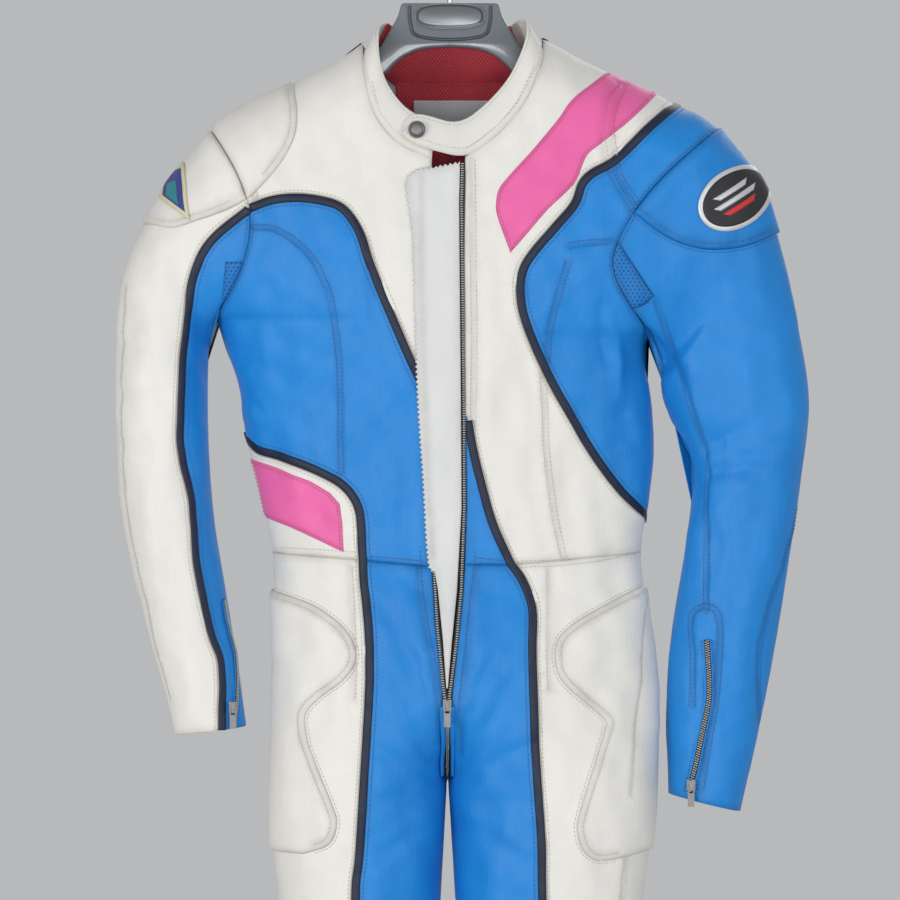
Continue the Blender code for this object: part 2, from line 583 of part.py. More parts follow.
def collar_lines():
    """The collar's lower and upper edges, from its right end round the nape to the tab's end."""
    right, left = seam(NECK_RIGHT)[::-1], seam(NECK_LEFT)
    nape = np.array(NAPE, float)
    round_back = np.vstack([nape[:-1][::-1] * (-1, 1), nape[1:-1]])
    base = [np.column_stack([right[:, 0], body_y("right", "front", *right.T), right[:, 1]]),
            np.column_stack([round_back[:, 0],
                             np.where(round_back[:, 0] < 0,
                                      body_y("right", "back", *round_back.T),
                                      body_y("left", "back", *round_back.T)), round_back[:, 1]]),
            np.column_stack([left[:, 0], body_y("left", "front", *left.T), left[:, 1]])[::-1]]
    base = np.vstack(base)
    far = np.concatenate([[0], np.cumsum(np.linalg.norm(np.diff(base, axis=0), axis=1))])
    share = far / far[-1]
    table = np.array(COLLAR)
    lean = np.interp(share, table[:, 0], table[:, 1])
    rise = np.interp(share, table[:, 0], table[:, 2])
    toward = -base[:, :2] / np.linalg.norm(base[:, :2], axis=1)[:, None]
    top = base + np.column_stack([toward * lean[:, None], -rise])
    tab = np.array(TAB, float)
    low_y = np.interp(tab[:, 0], [-48, 15], [base[1, 1], base[-1, 1]]) - TAB_OUT
    low_y[0] += TAB_OUT / 4  # where it leaves the collar
    depth = np.array([base[0, 1], base[-1, 1]]).min()
    low = np.column_stack([tab[:, 0], np.minimum(low_y, depth - TAB_OUT * 0.6), tab[:, 1]])
    high = np.column_stack([tab[:, 0], low[:, 1] + 11, tab[:, 2]])
    return np.vstack([base, low]), np.vstack([top, high]), len(base)


def collar_walls(base, top, out, wall):
    """Outer and inner grids of a wall between the collar's edges, its outer face `out` off."""
    tangent = np.gradient((base + top) / 2, axis=0)
    up = top - base
    normal = np.cross(tangent, up)
    normal /= np.linalg.norm(normal, axis=1)[:, None]
    lift = 1.5 * up / np.linalg.norm(up, axis=1)[:, None]
    ladder = np.linspace(0, 1, 3)[:, None, None]
    middle = (base + lift) * (1 - ladder) + top * ladder
    return middle + normal * out, middle + normal * (out - wall)


def collar():
    """Standing collar with its tab, snap, linings and label."""
    base, top, ends = collar_lines()
    half = COLLAR_WALL / 2
    outer, inner = collar_walls(base, top, half, COLLAR_WALL)
    material(solid("collar", outer, inner), "leather", WHITE)
    snap_x, snap_z = SNAP_AT
    tab = outer[:, ends:].reshape(-1, 3)
    near = np.argsort(np.hypot(tab[:, 0] - snap_x, tab[:, 2] - snap_z))[:8]
    y = tab[near, 1].min() - 0.2
    angle = np.linspace(0, 2 * math.pi, 20, endpoint=False)
    disc = np.column_stack([np.cos(angle), np.sin(angle)])
    sizes = ((SNAP_RADIUS, 0), (SNAP_RADIUS, 0.9), (SNAP_RADIUS * 0.75, SNAP_TALL))
    rings = [np.column_stack([snap_x + disc[:, 0] * r, np.full(20, y - h),
                              snap_z + disc[:, 1] * r]) for r, h in sizes]
    turned("snap", rings, GREY)
    back = slice(len(NECK_RIGHT) - 1, len(NECK_RIGHT) + 2 * len(NAPE) - 2)
    outer, inner = collar_walls(base, top, -half - LIFT, 1.0)
    material(solid("lining_collar", outer[:, back], inner[:, back]), "mesh", RED, 0.8)
    lining = ((-56, 92), (56, 92), (50, 150), (-50, 150))
    piece("lining_nape", lining, "centre", "back", RED, "back", -WALL - NAPE_GAP, 1.0)
    label = ((-37, 93), (45, 93), (45, 126), (-37, 126))
    piece("label", label, "centre", "back", WHITE, "back", -WALL - NAPE_GAP - 1.0 - LIFT, 1.0)


def turned(name, rings, colour, roughness=0.35, metallic=0.8):
    """A closed solid through rings of equal count, capped at both ends."""
    rings = np.array(rings)
    levels, count = rings.shape[:2]
    index = np.arange(levels * count).reshape(levels, count)
    after = np.roll(index, -1, axis=1)
    sides = np.stack([index[:-1], after[:-1], after[1:], index[1:]], axis=-1).reshape(-1, 4)
    faces = [tuple(index[0][::-1]), tuple(index[-1]), *sides]
    thing = mesh_object(name, place(*rings.reshape(-1, 3).T), faces)
    face_out(thing)
    return material(thing, "finish", colour, roughness, metallic)


def sleeve_y(side, x, z, d):
    """Front surface of a sleeve nearest to x, z."""
    rings = sleeve_rings(side, d, 25)
    count = rings.shape[0]
    surface = spline(rings.reshape(count, -1), 6).reshape(-1, *rings.shape[1:])
    gx, gz, front, _ = surface.transpose(1, 0, 2)
    near = np.argmin(np.hypot(gx - x, gz - z))
    return -front.ravel()[near]


def box(name, x, y, z):
    """A plain box between pairs of suit millimetres."""
    corner = np.array([(x[i], y[j], z[k]) for i in (0, 1) for j in (0, 1) for k in (0, 1)], float)
    faces = [(0, 1, 3, 2), (4, 6, 7, 5), (0, 4, 5, 1), (2, 3, 7, 6), (0, 2, 6, 4), (1, 5, 7, 3)]
    thing = mesh_object(name, place(*corner.T), faces)
    face_out(thing)
    return thing


def hidden(thing):
    thing.hide_render = True
    thing.display_type = "WIRE"
    return thing


def zips():
    """Main zip's tapes and wind flap, cuff zips, and the three sliders with their pulls."""
    right, left = seam(ZIP_RIGHT), seam(ZIP_LEFT)
    wide = 5.6
    inner_right = np.column_stack([np.minimum(right[:, 0] + wide, -2.8), right[:, 1]])
    inner_left = np.column_stack([np.maximum(left[:, 0] - wide, -2.5), left[:, 1]])
    for side, edge, inner in (("right", right, inner_right), ("left", left, inner_left)):
        edge, inner = edge + (0, 8) * (edge[:, 1:] < 160), inner + (0, 8) * (inner[:, 1:] < 160)
        piece(f"zip_tape_{side}", join(edge, inner[::-1]), "centre", "front", GREY, "front",
              0.0, 1.3)
        piece(f"cuff_zip_{side}", strip(CUFF_ZIP[side], CUFF_TAPE), "sleeve", side, GREY, "front",
              LIFT + 1.0, 1.0)
    piece("wind_flap", FLAP, "centre", "front", WHITE, "front", 2.9, 1.3)
    for name, (x, z, room) in SLIDERS.items():
        half_z = SLIDER_TALL / 2
        if name == "main":
            y = min(float(body_y("right" if i < 0 else "left", "front", x + i, z + k)) - room
                    for i in (-SLIDER_WIDE / 2, 0, SLIDER_WIDE / 2) for k in (-half_z, half_z))
        else:
            seats = ((SLIDER_WIDE / 2, 0), (CUFF_TAPE / 2, LIFT + 1.0))
            y = min(sleeve_y(name[5:], x + i * half_x, z + k, d) - room
                    for half_x, d in seats for i in (-1, 0, 1) for k in (-half_z, 0, half_z))
        slider_and_pull(name, x, y, z)


def slider_and_pull(name, x, y, z):
    """A slider whose bridge holds the pull's cross bar; the pull hangs straight down."""
    face = y - SLIDER_THICK
    half = SLIDER_TALL / 2
    slider = box(f"slider_{name}", (x - SLIDER_WIDE / 2, x + SLIDER_WIDE / 2), (face, y),
                 (z - half, z + half))
    bridge_half = BRIDGE_HOLE / 2 + BRIDGE_WALL
    bridge = hidden(box(f"bridge_{name}", (x - BRIDGE_WIDE / 2, x + BRIDGE_WIDE / 2),
                        (face - BRIDGE_GAP - BRIDGE_WALL, face + 1), (z - bridge_half,
                                                                      z + bridge_half)))
    hole = hidden(box(f"bridge_hole_{name}", (x - SLIDER_WIDE, x + SLIDER_WIDE),
                      (face - BRIDGE_GAP, face), (z - BRIDGE_HOLE / 2, z + BRIDGE_HOLE / 2)))
    cut(slider, "UNION", bridge)
    cut(slider, "DIFFERENCE", hole)
    material(slider, "metal", STEEL, 0.35, 1.0)
    bar_y = face - BRIDGE_GAP / 2
    top = z - PULL_THICK / 2
    pull = box(f"pull_{name}", (x - PULL_WIDE / 2, x + PULL_WIDE / 2),
               (bar_y - PULL_THICK / 2, bar_y + PULL_THICK / 2), (top, top + PULL_LONG))
    inside = PULL_WIDE / 2 - PULL_RIM
    slot = hidden(box(f"slot_{name}", (x - inside, x + inside), (bar_y - 5, bar_y + 5),
                      (top + PULL_THICK, top + PULL_HOLE)))
    cut(pull, "DIFFERENCE", slot)
    material(pull, "metal", STEEL, 0.35, 1.0)


def badges():
    """A bare badge on each shoulder pad."""
    over = LIFT + 2.4 + 1.5 * LIFT + 1.0
    angle = np.linspace(0, 2 * math.pi, 24, endpoint=False)
    turn = math.radians(-35)
    oval = np.column_stack([36 * np.cos(angle), 31 * np.sin(angle)])
    turned_oval = oval @ np.array([[math.cos(turn), math.sin(turn)],
                                   [-math.sin(turn), math.cos(turn)]]) + (283, 199)
    piece("badge_left", turned_oval, "sleeve", "left", GREY, "front", over, 1.0)
    piece("badge_right", ((-289, 199), (-258, 222), (-265, 162), (-285, 172)), "sleeve", "right",
          BLUE, "front", over, 1.0)


def hanger():
    """A broad-shouldered hanger: neck, underside arch and two arms in one outline."""
    neck, under = np.array(HANGER_NECK, float), np.array(HANGER_UNDER, float)
    outline = []
    for side, sign in (("left", 1), ("right", -1)):
        ridge = np.array(RIDGE[side], float)
        tip = abs(ridge[-1, 0]) - 12
        out = np.linspace(112, tip, 8) * sign
        top = np.column_stack([out, RIDGE_Z[side](out) + ARM_BELOW_RIDGE])
        deep = HANGER_ARM_DEEP * np.linspace(1, 0.5, 8)
        low = np.column_stack([out, top[:, 1] + deep])
        half = join(neck * (sign, 1), top, low[::-1], under * (sign, 1))
        outline.append(half if sign > 0 else half[::-1])
    outline = np.vstack([outline[0][:-1], outline[1]])
    body = prism("hanger", outline, -HANGER_THICK, HANGER_THICK)
    bevel = body.modifiers.new("edges", "BEVEL")
    bevel.width = 2.5 * MM
    bevel.segments = 2
    material(body, "plastic", GREY, 0.3)
    hook()


def hook():
    """A wire hook whose inner top is the origin, with its shank down to the hanger's neck."""
    middle = HOOK_RADIUS + HOOK_WIRE
    centre_z = -NECK_DROP + HOOK_RADIUS
    turn = np.radians(np.linspace(-160, 62, 20))
    arc = np.column_stack([middle * np.sin(turn), centre_z - middle * np.cos(turn)])
    foot = np.array([(8, -60), (2, -44), (0, -30), (0, -2 * SEAM)])
    path = np.vstack([arc, foot])
    curve = bpy.data.curves.new("hook", "CURVE")
    curve.dimensions = "3D"
    curve.bevel_depth = HOOK_WIRE * MM
    curve.bevel_resolution = 2
    curve.use_fill_caps = True
    line = curve.splines.new("POLY")
    line.points.add(len(path) - 1)
    for point, (x, z) in zip(line.points, path):
        point.co = (*place(x, 0.0, z), 1)
    wire = bpy.data.objects.new("hook", curve)
    bpy.context.collection.objects.link(wire)
    material(wire, "metal", STEEL, 0.3, 1.0)


def main():
    for old in list(bpy.data.objects):
        bpy.data.objects.remove(old, do_unlink=True)
    fronts()
    legs()
    backs()
    bands()
    patches()
    sleeves()
    collar()
    zips()
    badges()
    hanger()


main()
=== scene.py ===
"""A one-piece motorcycle race suit on its hanger, finished on the frame of its CAD model.

The leather is worked out in suit millimetres: x from the centre line, z down from the hanger's
neck, y to the back. Each panel is a patch of a form: the front or the back of half a body, of a
sleeve, or of the middle where the zip and the nape are.
"""

import math

import bmesh
import bpy
import numpy as np
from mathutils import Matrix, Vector
from mathutils.bvhtree import BVHTree
from mathutils.geometry import delaunay_2d_cdt
from mathutils.kdtree import KDTree


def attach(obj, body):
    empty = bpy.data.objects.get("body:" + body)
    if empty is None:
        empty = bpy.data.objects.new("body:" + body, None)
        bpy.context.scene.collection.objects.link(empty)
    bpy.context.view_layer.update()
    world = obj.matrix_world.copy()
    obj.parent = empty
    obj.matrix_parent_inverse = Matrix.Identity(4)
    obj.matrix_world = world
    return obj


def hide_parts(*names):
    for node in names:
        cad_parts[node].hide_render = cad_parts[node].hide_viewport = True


bl_info = {
    "name": "Motorcycle Race Suit",
    "version": (1, 0, 0),
    "blender": (4, 5, 0),
    "location": "3D View > Sidebar > Race Suit",
    "description": "Leather panels, bands, pads, zips and stitching of a one-piece race suit",
    "category": "Add Mesh",
}

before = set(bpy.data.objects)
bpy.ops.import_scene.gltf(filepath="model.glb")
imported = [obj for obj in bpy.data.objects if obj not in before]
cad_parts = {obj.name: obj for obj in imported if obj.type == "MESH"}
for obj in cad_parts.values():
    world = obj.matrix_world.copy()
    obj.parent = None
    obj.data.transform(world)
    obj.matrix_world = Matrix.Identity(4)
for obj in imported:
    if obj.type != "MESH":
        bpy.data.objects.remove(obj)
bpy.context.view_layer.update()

MM = 0.001
NECK_DROP = 130  # from the hook's inner top down to the hanger's neck
CENTRE_X = -2.5  # where the two half bodies meet
SHOULDER_ROLL = 62  # radius of the rounding over the shoulders
CHEST_FLAT = 2.3  # power of the trunk's oval
NECK, WAIST, HIP, CROTCH, ANKLE = 20, 545, 700, 785, 1470  # levels
RIDGE_BLEND = 330  # the level from which the body's rows run level
BODY_ROWS, BODY_COLUMNS, SLEEVE_COLUMNS = 340, 45, 41
BODY_WIDE, SLEEVE_WIDE = 240, 165  # cloth across half a body and half a sleeve
FADE = 16  # over which folds die out beside an edge that another form continues
WALL, THIN_WALL, PAD_WALL = 1.4, 1.0, 1.6
PAD_FILL, HIP_INSET, PAD_INSET = 0.7, 6.2, 6.5  # the insets are of the pads' inner seams
SEAM_OFF, BAND_OFF = 2.9, 7.4  # threads from a plain seam, and from a band's middle
PAST_SIDE, PAST_SEAM, ABOVE_RIDGE = 300, 60, 5  # beyond the silhouette, inseam and shoulders
FLOOR_SIZE, FLOOR_LEVEL, CAMERA_LEVEL = 9.0, -1.75, -0.58  # metres
FRONT, BACK = "front", "back"
RIGHT, LEFT = "right", "left"
SIGN = {RIGHT: -1, LEFT: 1}
AWAY = {FRONT: -1, BACK: 1}

# Silhouette of each half: columns x, z. The first two rows are the line that the armhole spans.
OUTER = {
    RIGHT: ((-239, 129), (-236, 318), (-229, 339), (-213, 385), (-207, 430), (-193, 484),
            (-180, 545), (-178, 590), (-177, 665), (-178, 725), (-179, 846), (-173, 900),
            (-162, 1060), (-150, 1250), (-132, 1470)),
    LEFT: ((271, 126), (202, 335), (195, 352), (202, 395), (206, 450), (199, 507), (193, 545),
           (195, 591), (204, 645), (207, 708), (206, 809), (199, 866), (195, 900),
           (184, 1060), (168, 1250), (148, 1470)),
}
# Inner edge of each leg: columns x, z.
INNER = {RIGHT: ((-3, 785), (-9, 900), (-22, 1060), (-30, 1250), (-42, 1470)),
         LEFT: ((-2, 785), (5, 900), (26, 1060), (42, 1250), (56, 1470))}
# Top of the shoulders, from the neck outwards: columns x, z.
RIDGE = {
    RIGHT: ((0, 24), (-80, 34), (-106, 54), (-163, 83), (-200, 100), (-232, 118), (-239, 129)),
    LEFT: ((0, 24), (83, 30), (123, 52), (158, 69), (221, 99), (247, 110), (271, 126)),
}
# Half depth of the trunk and legs: columns z, front, back.
DEPTH = ((20, 62, 66), (130, 72, 80), (230, 84, 88), (330, 84, 84), (450, 72, 72), (560, 70, 74),
         (650, 82, 92), (720, 84, 96), (785, 80, 88), (900, 77, 80), (1060, 66, 66),
         (1250, 58, 64), (1470, 44, 44))
# Armholes: half depth at the seam, scoop into the trunk, share down where it is deepest.
ARMHOLE = {RIGHT: (58, 38, 0.5), LEFT: (56, 62, 0.70)}
# Sleeves: columns outer x, outer z, inner x, inner z, half depth.
SLEEVE = {
    RIGHT: ((-292, 198, -241, 334, 56), (-326, 262, -243, 354, 58), (-337, 340, -244, 400, 58),
            (-337, 420, -243, 450, 56), (-333, 500, -238, 515, 52), (-319, 576, -228, 579, 47),
            (-300, 650, -216, 651, 42), (-276, 737, -205, 728, 38)),
    LEFT: ((313, 184, 214, 358, 52), (335, 250, 213, 384, 50), (350, 320, 222, 418, 48),
           (362, 400, 240, 450, 46), (354, 480, 244, 490, 44), (342, 560, 236, 555, 42),
           (330, 636, 223, 636, 40), (316, 710, 218, 705, 38), (293, 814, 220, 796, 36)),
}

# Seam lines: columns x, z.
ZIP_RIGHT = ((-18, 150), (-18, 566), (-14, 625), (-7, 690), (-6.2, 722), (-6.2, 779))
ZIP_LEFT = ((15, 150), (14, 258), (15, 420), (16, 507), (13, 590), (8, 640), (1, 700),
            (0.6, 722), (0.6, 779))
NECK_RIGHT = ((-89, 40), (-84, 79), (-77, 107), (-65, 127), (-48, 144), (-18, 158))
NECK_LEFT = ((15, 158), (44, 136), (67, 112), (80, 89), (91, 64), (94, 40))
ARCH = ((-199, 209), (-177, 201), (-149, 199), (-126, 202), (-109, 208), (-97, 221), (-88, 238),
        (-80, 264), (-65, 301), (-40, 359), (-24, 394), (-18, 404))
WAIST_BAND = ((-215, 434), (-203, 440), (-192, 450), (-163, 459), (-134, 470), (-111, 482),
              (-97, 496), (-90, 513), (-88, 545), (-87, 560))
THIGH_RIGHT = ((-87, 560), (-86, 579), (-81, 628), (-80, 680), (-83, 737), (-90, 852), (-94, 900),
               (-90, 1060), (-88, 1250), (-86, 1470))
SHOULDER_BAND = ((232, 96), (227, 103), (201, 126), (178, 149), (161, 164), (141, 175),
                 (131, 186), (125, 204), (106, 227), (86, 250), (73, 270), (70, 293), (76, 324),
                 (100, 379), (138, 445), (164, 482), (184, 504), (210, 526))
WEDGE_BAND = ((15, 415), (18, 421), (23, 450), (32, 487), (43, 525), (57, 556), (61, 564))
THIGH_LEFT = ((61, 564), (72, 579), (82, 608), (82, 651), (85, 751), (91, 837), (92, 900),
              (100, 1060), (103, 1250), (103, 1470))
SLEEVE_BAND = ((-198, 209), (-223, 227), (-243, 247), (-255, 273), (-261, 301), (-266, 344),
               (-269, 402), (-269, 450), (-259, 502), (-252, 576), (-239, 634), (-230, 665),
               (-228, 740))
BACK_SEAM = {RIGHT: ((-105, 20), (-100, 200), (-88, 400), (-82, 560), (-86, 900), (-88, 1470)),
             LEFT: ((105, 20), (100, 200), (88, 400), (82, 564), (92, 900), (103, 1470))}
NAPE = ((0, 88), (38, 82), (70, 62), (88, 44))
PINK_SHOULDER = ((159, 70), (132, 91), (118, 105), (108, 120), (83, 150), (57, 179), (49, 190),
                 (46, 202), (47, 217), (60, 254), (79, 232), (97, 211), (116, 193), (126, 181),
                 (136, 157), (150, 145), (181, 120), (209, 92))
PINK_TIP = (60, 254)
WEDGE_FOOT = (14.6, 564)
PINK_WAIST = ((-206, 457), (-177, 467), (-140, 481), (-120, 493), (-110, 504), (-107, 522),
              (-106, 552), (-134, 539), (-163, 526), (-210, 508))
# The left shoulder pad's edge on the trunk, and the seam beside it.
PAD_LINES = (((169, 80), (156, 99), (152, 119), (151, 138), (155, 160), (163, 181), (181, 211)),
             ((178, 80), (167, 101), (161, 119), (161, 138), (164, 160), (171, 181), (187, 205)))
HIP_PAD = {
    RIGHT: ((-250, 591), (-178, 591), (-160, 596), (-134, 606), (-111, 622), (-97, 639),
            (-93, 659), (-106, 680), (-129, 697), (-143, 714), (-143, 731), (-137, 754),
            (-117, 803), (-112, 823), (-120, 843), (-146, 853), (-250, 852)),
    LEFT: ((250, 580), (192, 586), (172, 596), (143, 611), (120, 625), (106, 642), (105, 665),
           (115, 685), (152, 717), (153, 731), (146, 754), (129, 809), (126, 829), (132, 849),
           (149, 860), (178, 856), (250, 843)),
}
SHOULDER_PAD = {
    RIGHT: ((-157, 60), (-157, 82), (-152, 115), (-157, 143), (-175, 172), (-200, 198),
            (-226, 212), (-255, 222), (-278, 228), (-301, 224), (-330, 218), (-330, 60)),
    LEFT: ((170, 60), (152, 143), (156, 155), (161, 172), (169, 195), (184, 214), (207, 232),
           (230, 244), (258, 250), (287, 248), (310, 241), (350, 222), (350, 60)),
}
GUSSET = {RIGHT: ((-216, 300), (-206, 304), (-204, 275), (-208, 262), (-224, 262), (-228, 300)),
          LEFT: ((166, 240), (204, 296), (198, 303), (169, 314), (150, 300), (150, 250))}
FLAP_LEFT = ((-14, 169), (-34, 172), (-44, 186), (-37, 236), (-35, 316), (-32, 402), (-27, 479),
             (-22, 560), (-16, 572))
FLAP_LOWER = ((-12, 590), (-7, 640), (-3.6, 687))
FLAP_RIGHT = ((-2.2, 687), (2, 640), (7, 590), (11.5, 507), (11, 420), (9.5, 258), (9, 203),
              (10, 170))
CUFF_ZIP = {RIGHT: ((-228, 600), (-222, 630), (-218, 655), (-215, 684), (-216, 722)),
            LEFT: ((258, 640), (260, 694), (254, 728), (247, 763), (240, 794))}
# Collar: columns share of the way round, lean towards the neck, rise above the seam.
COLLAR = ((0, 12, 34), (0.15, 15, 30), (0.32, 21, 33), (0.5, 6, 50), (0.68, 21, 33),
          (0.85, 15, 30), (1, 12, 34))

# The collar's left end runs on as a tab over the right end: columns x, z below, z above.
TAB = ((2, 154, 124), (-14, 150, 119), (-30, 145, 115), (-41, 140, 117), (-47, 134, 123))
TAB_OUT = 3.2
SNAP_AT = (-33, 131)
BADGE_AT, BADGE_TURN = (283, 199), -33  # the oval's centre and its turn in degrees
BADGE_RIGHT = ((-289, 199), (-258, 222), (-265, 162), (-285, 172))
BADGE_OVER = 5.6  # above the sleeve, so that it clears the pad below it
# Hanger: outline of its neck on one side, top then underside, columns x, z.
HANGER_NECK = ((49, 0), (53, 14), (61, 28), (72, 46), (90, 57))
HANGER_UNDER = ((96, 92), (66, 72), (57, 63), (46, 54), (28, 46.5), (0, 44))
HANGER_ARM_DEEP = 34
HANGER_THICK = 12  # half
ARM_BELOW_RIDGE = 5
PULL_EDGE = 0.35  # rounding of sliders and pulls
HOOK_RADIUS, HOOK_WIRE = 24, 3  # to the wire's inner side, and the wire's radius

# Folds of the leather: columns x, z at one end, x, z at the other, half width, height.
FRONT_FOLDS = (
    (-78, 205, -66, 330, 9, -2.2), (-56, 190, -50, 300, 8, 1.6), (-95, 130, -84, 200, 12, -1.4),
    (45, 175, 52, 330, 8, -1.9), (66, 320, 92, 440, 8, -1.6), (36, 330, 46, 480, 8, 1.5),
    (24, 190, 28, 300, 6, -1.2), (112, 452, 128, 548, 9, -1.4), (60, 440, 84, 540, 8, 1.3),
    (160, 322, 172, 392, 6, 3.2), (150, 300, 158, 372, 5, -2.4), (176, 400, 190, 470, 8, -1.8),
    (-205, 398, -188, 412, 5, -2.0), (-208, 424, -186, 431, 5, -2.0),
    (-200, 372, -184, 366, 5, -1.4), (-150, 230, -140, 330, 9, 1.4),
    (-176, 300, -166, 420, 10, -1.8), (-120, 300, -112, 460, 8, -1.2),
    (-75, 330, -62, 540, 9, 1.4), (-48, 430, -40, 560, 8, -1.3), (-160, 470, -120, 530, 9, -1.0),
    (-10, 768, -62, 690, 7, -2.8), (-9, 742, -48, 640, 6, -2.2), (-12, 784, -76, 742, 7, -2.6),
    (-14, 720, -40, 600, 7, 1.8), (-20, 800, -78, 800, 8, -2.0), (-18, 830, -84, 856, 8, -1.8),
    (6, 768, 60, 690, 7, -2.8), (6, 742, 50, 640, 6, -2.2), (8, 784, 78, 742, 7, -2.6),
    (12, 720, 36, 600, 7, 1.8), (14, 802, 82, 804, 8, -2.0), (16, 830, 88, 860, 8, -1.8),
    (18, 700, 70, 612, 6, -1.6), (-40, 660, -74, 596, 6, -1.6), (-170, 566, -110, 572, 7, -1.4),
    (120, 566, 186, 560, 7, -1.4), (-60, 566, -30, 590, 6, -1.4), (160, 870, 188, 960, 10, -1.6),
    (-170, 872, -150, 970, 10, -1.6), (-150, 1010, -50, 1030, 12, -2.4),
    (-152, 1060, -40, 1072, 11, -2.8), (-140, 1110, -46, 1100, 11, -2.0),
    (174, 1006, 60, 1034, 12, -2.4), (172, 1062, 50, 1070, 11, -2.8),
    (160, 1112, 62, 1098, 11, -2.0), (-138, 1210, -60, 1240, 9, -1.2),
    (156, 1220, 76, 1238, 9, -1.2), (-126, 1390, -60, 1402, 8, -1.6),
    (142, 1388, 74, 1404, 8, -1.6),
)
BACK_FOLDS = (
    (-90, 110, -40, 190, 10, -1.6), (92, 112, 44, 196, 10, -1.6), (-30, 220, -24, 400, 9, -1.3),
    (36, 240, 30, 420, 9, 1.3), (-170, 250, -150, 400, 11, -2.0), (150, 250, 140, 400, 11, -2.0),
    (-150, 520, -20, 548, 8, -2.4), (160, 516, 16, 550, 8, -2.4), (-120, 556, -10, 580, 9, -2.0),
    (130, 560, 14, 584, 9, -2.0), (-12, 770, -90, 700, 8, -2.8), (8, 770, 92, 700, 8, -2.8),
    (-16, 800, -120, 806, 9, -2.8), (12, 802, 124, 808, 9, -2.8), (-24, 840, -130, 870, 9, -2.2),
    (20, 842, 134, 872, 9, -2.2), (-140, 1030, -40, 1046, 9, -3.2), (156, 1030, 60, 1048, 9, -3.2),
    (-142, 1072, -44, 1066, 9, -3.2), (158, 1074, 62, 1066, 9, -3.2),
    (-130, 1108, -50, 1120, 9, -2.2), (146, 1110, 68, 1122, 9, -2.2),
    (-70, 640, -60, 700, 10, 1.4), (74, 640, 64, 702, 10, 1.4),
)
SLEEVE_FOLDS = (
    (172, 318, 222, 404, 6, 3.0), (184, 312, 238, 392, 6, -3.0), (180, 262, 222, 330, 8, -1.8),
    (246, 446, 300, 432, 8, -2.4), (246, 470, 318, 472, 8, -2.4), (330, 440, 280, 452, 8, -1.6),
    (262, 300, 276, 400, 12, -1.4), (300, 300, 318, 420, 14, 1.6), (262, 520, 268, 620, 10, -1.4),
    (300, 560, 296, 690, 10, 1.3), (276, 700, 280, 780, 8, -1.3), (232, 650, 250, 740, 7, 1.3),
    (-332, 340, -290, 352, 8, -1.8), (-334, 400, -280, 396, 9, -2.0),
    (-334, 448, -286, 440, 8, -1.8), (-310, 250, -296, 320, 11, -1.3),
    (-300, 460, -292, 600, 11, 1.2), (-284, 560, -270, 700, 9, -1.2),
    (-262, 690, -292, 702, 7, -1.3), (-252, 320, -246, 380, 6, -2.0),
    (-240, 300, -250, 260, 6, -1.6),
)

# Second seams, which lie within a panel: columns x, z.
YOKE_LINE = ((-226, 143), (-217, 152), (-205, 172), (-192, 203))
PRINCESS_RIGHT = ((-198, 228), (-175, 230), (-152, 244), (-134, 264), (-120, 296), (-114, 330),
                  (-110, 373), (-109, 450), (-109, 474))
PRINCESS_LEFT = ((118, 262), (106, 301), (99, 330), (97, 362))
PRINCESS_LOW = ((92, 372), (95, 416), (96, 450), (103, 507), (110, 542), (115, 562))
YOKE_LEFT = ((118, 247), (138, 244), (161, 242))
PLACKET = ((22, 160), (23, 258), (24, 344), (23, 428))
FACING_RIGHT = ((-33, 545), (-30, 590), (-22, 640), (-15, 673), (-9, 739), (-8, 775))
FACING_LEFT = ((27, 545), (27, 565), (22, 606), (18, 648), (13, 689), (10, 722), (9, 756))
SIDE_LEFT = ((195, 600), (190, 680), (184, 723), (179, 795), (178, 837), (172, 900), (160, 1060))
HIP_DART = ((-101, 566), (-96, 645), (-97, 700))
HIP_DART_LEFT = ((99, 569), (99, 634), (100, 690))
SLEEVE_SEAM = ((206, 300), (232, 376), (255, 450), (257, 507), (256, 579), (257, 612))
SLEEVE_SEAM_BACK = ((350, 507), (337, 559), (320, 611), (312, 645), (311, 680), (312, 725))
ELBOW_LINE = ((-326, 287), (-330, 340), (-331, 420), (-327, 500), (-316, 560), (-296, 650),
              (-284, 700))
CUFF_BOX = ((243, 708), (244, 660), (243, 614), (269, 615), (267, 694), (260, 737), (251, 792))
FLAP_SEAM = ((-28, 178), (-27, 300), (-24, 400), (-20, 500), (-16, 556))


def smooth(start, end, value):
    """0 before start, 1 after end, with no kink between."""
    t = np.clip((value - start) / (end - start), 0, 1)
    return t * t * (3 - 2 * t)


def spline(points, per_span):
    """A Catmull-Rom curve through the points, with per_span points for each stretch."""
    p = np.asarray(points, float)
    p = np.vstack([2 * p[0] - p[1], p, 2 * p[-1] - p[-2]])
    t = np.linspace(0, 1, per_span, endpoint=False)[:, None]
    rows = []
    for a, b, c, d in zip(p, p[1:], p[2:], p[3:]):
        rows.append(0.5 * (2 * b + (c - a) * t + (2 * a - 5 * b + 4 * c - d) * t**2
                           + (3 * b - a - 3 * c + d) * t**3))
    return np.vstack([*rows, p[-2:-1]])


def lengths(points):
    """How far along a polyline each of its points lies."""
    return np.concatenate([[0], np.cumsum(np.linalg.norm(np.diff(points, axis=0), axis=1))])


def read_at(at, far, rows):
    """Rows of numbers, known at `far`, read at `at`."""
    return np.stack([np.interp(at, far, column) for column in rows.T], axis=-1)


def unit(rows):
    """The same directions, each one long."""
    return rows / np.maximum(np.linalg.norm(rows, axis=-1, keepdims=True), 1e-9)


def aside(steps):
    """Unit vectors in the plan, a quarter turn from these steps."""
    steps = unit(steps)
    return np.stack([steps[:, 1], -steps[:, 0]], axis=1)


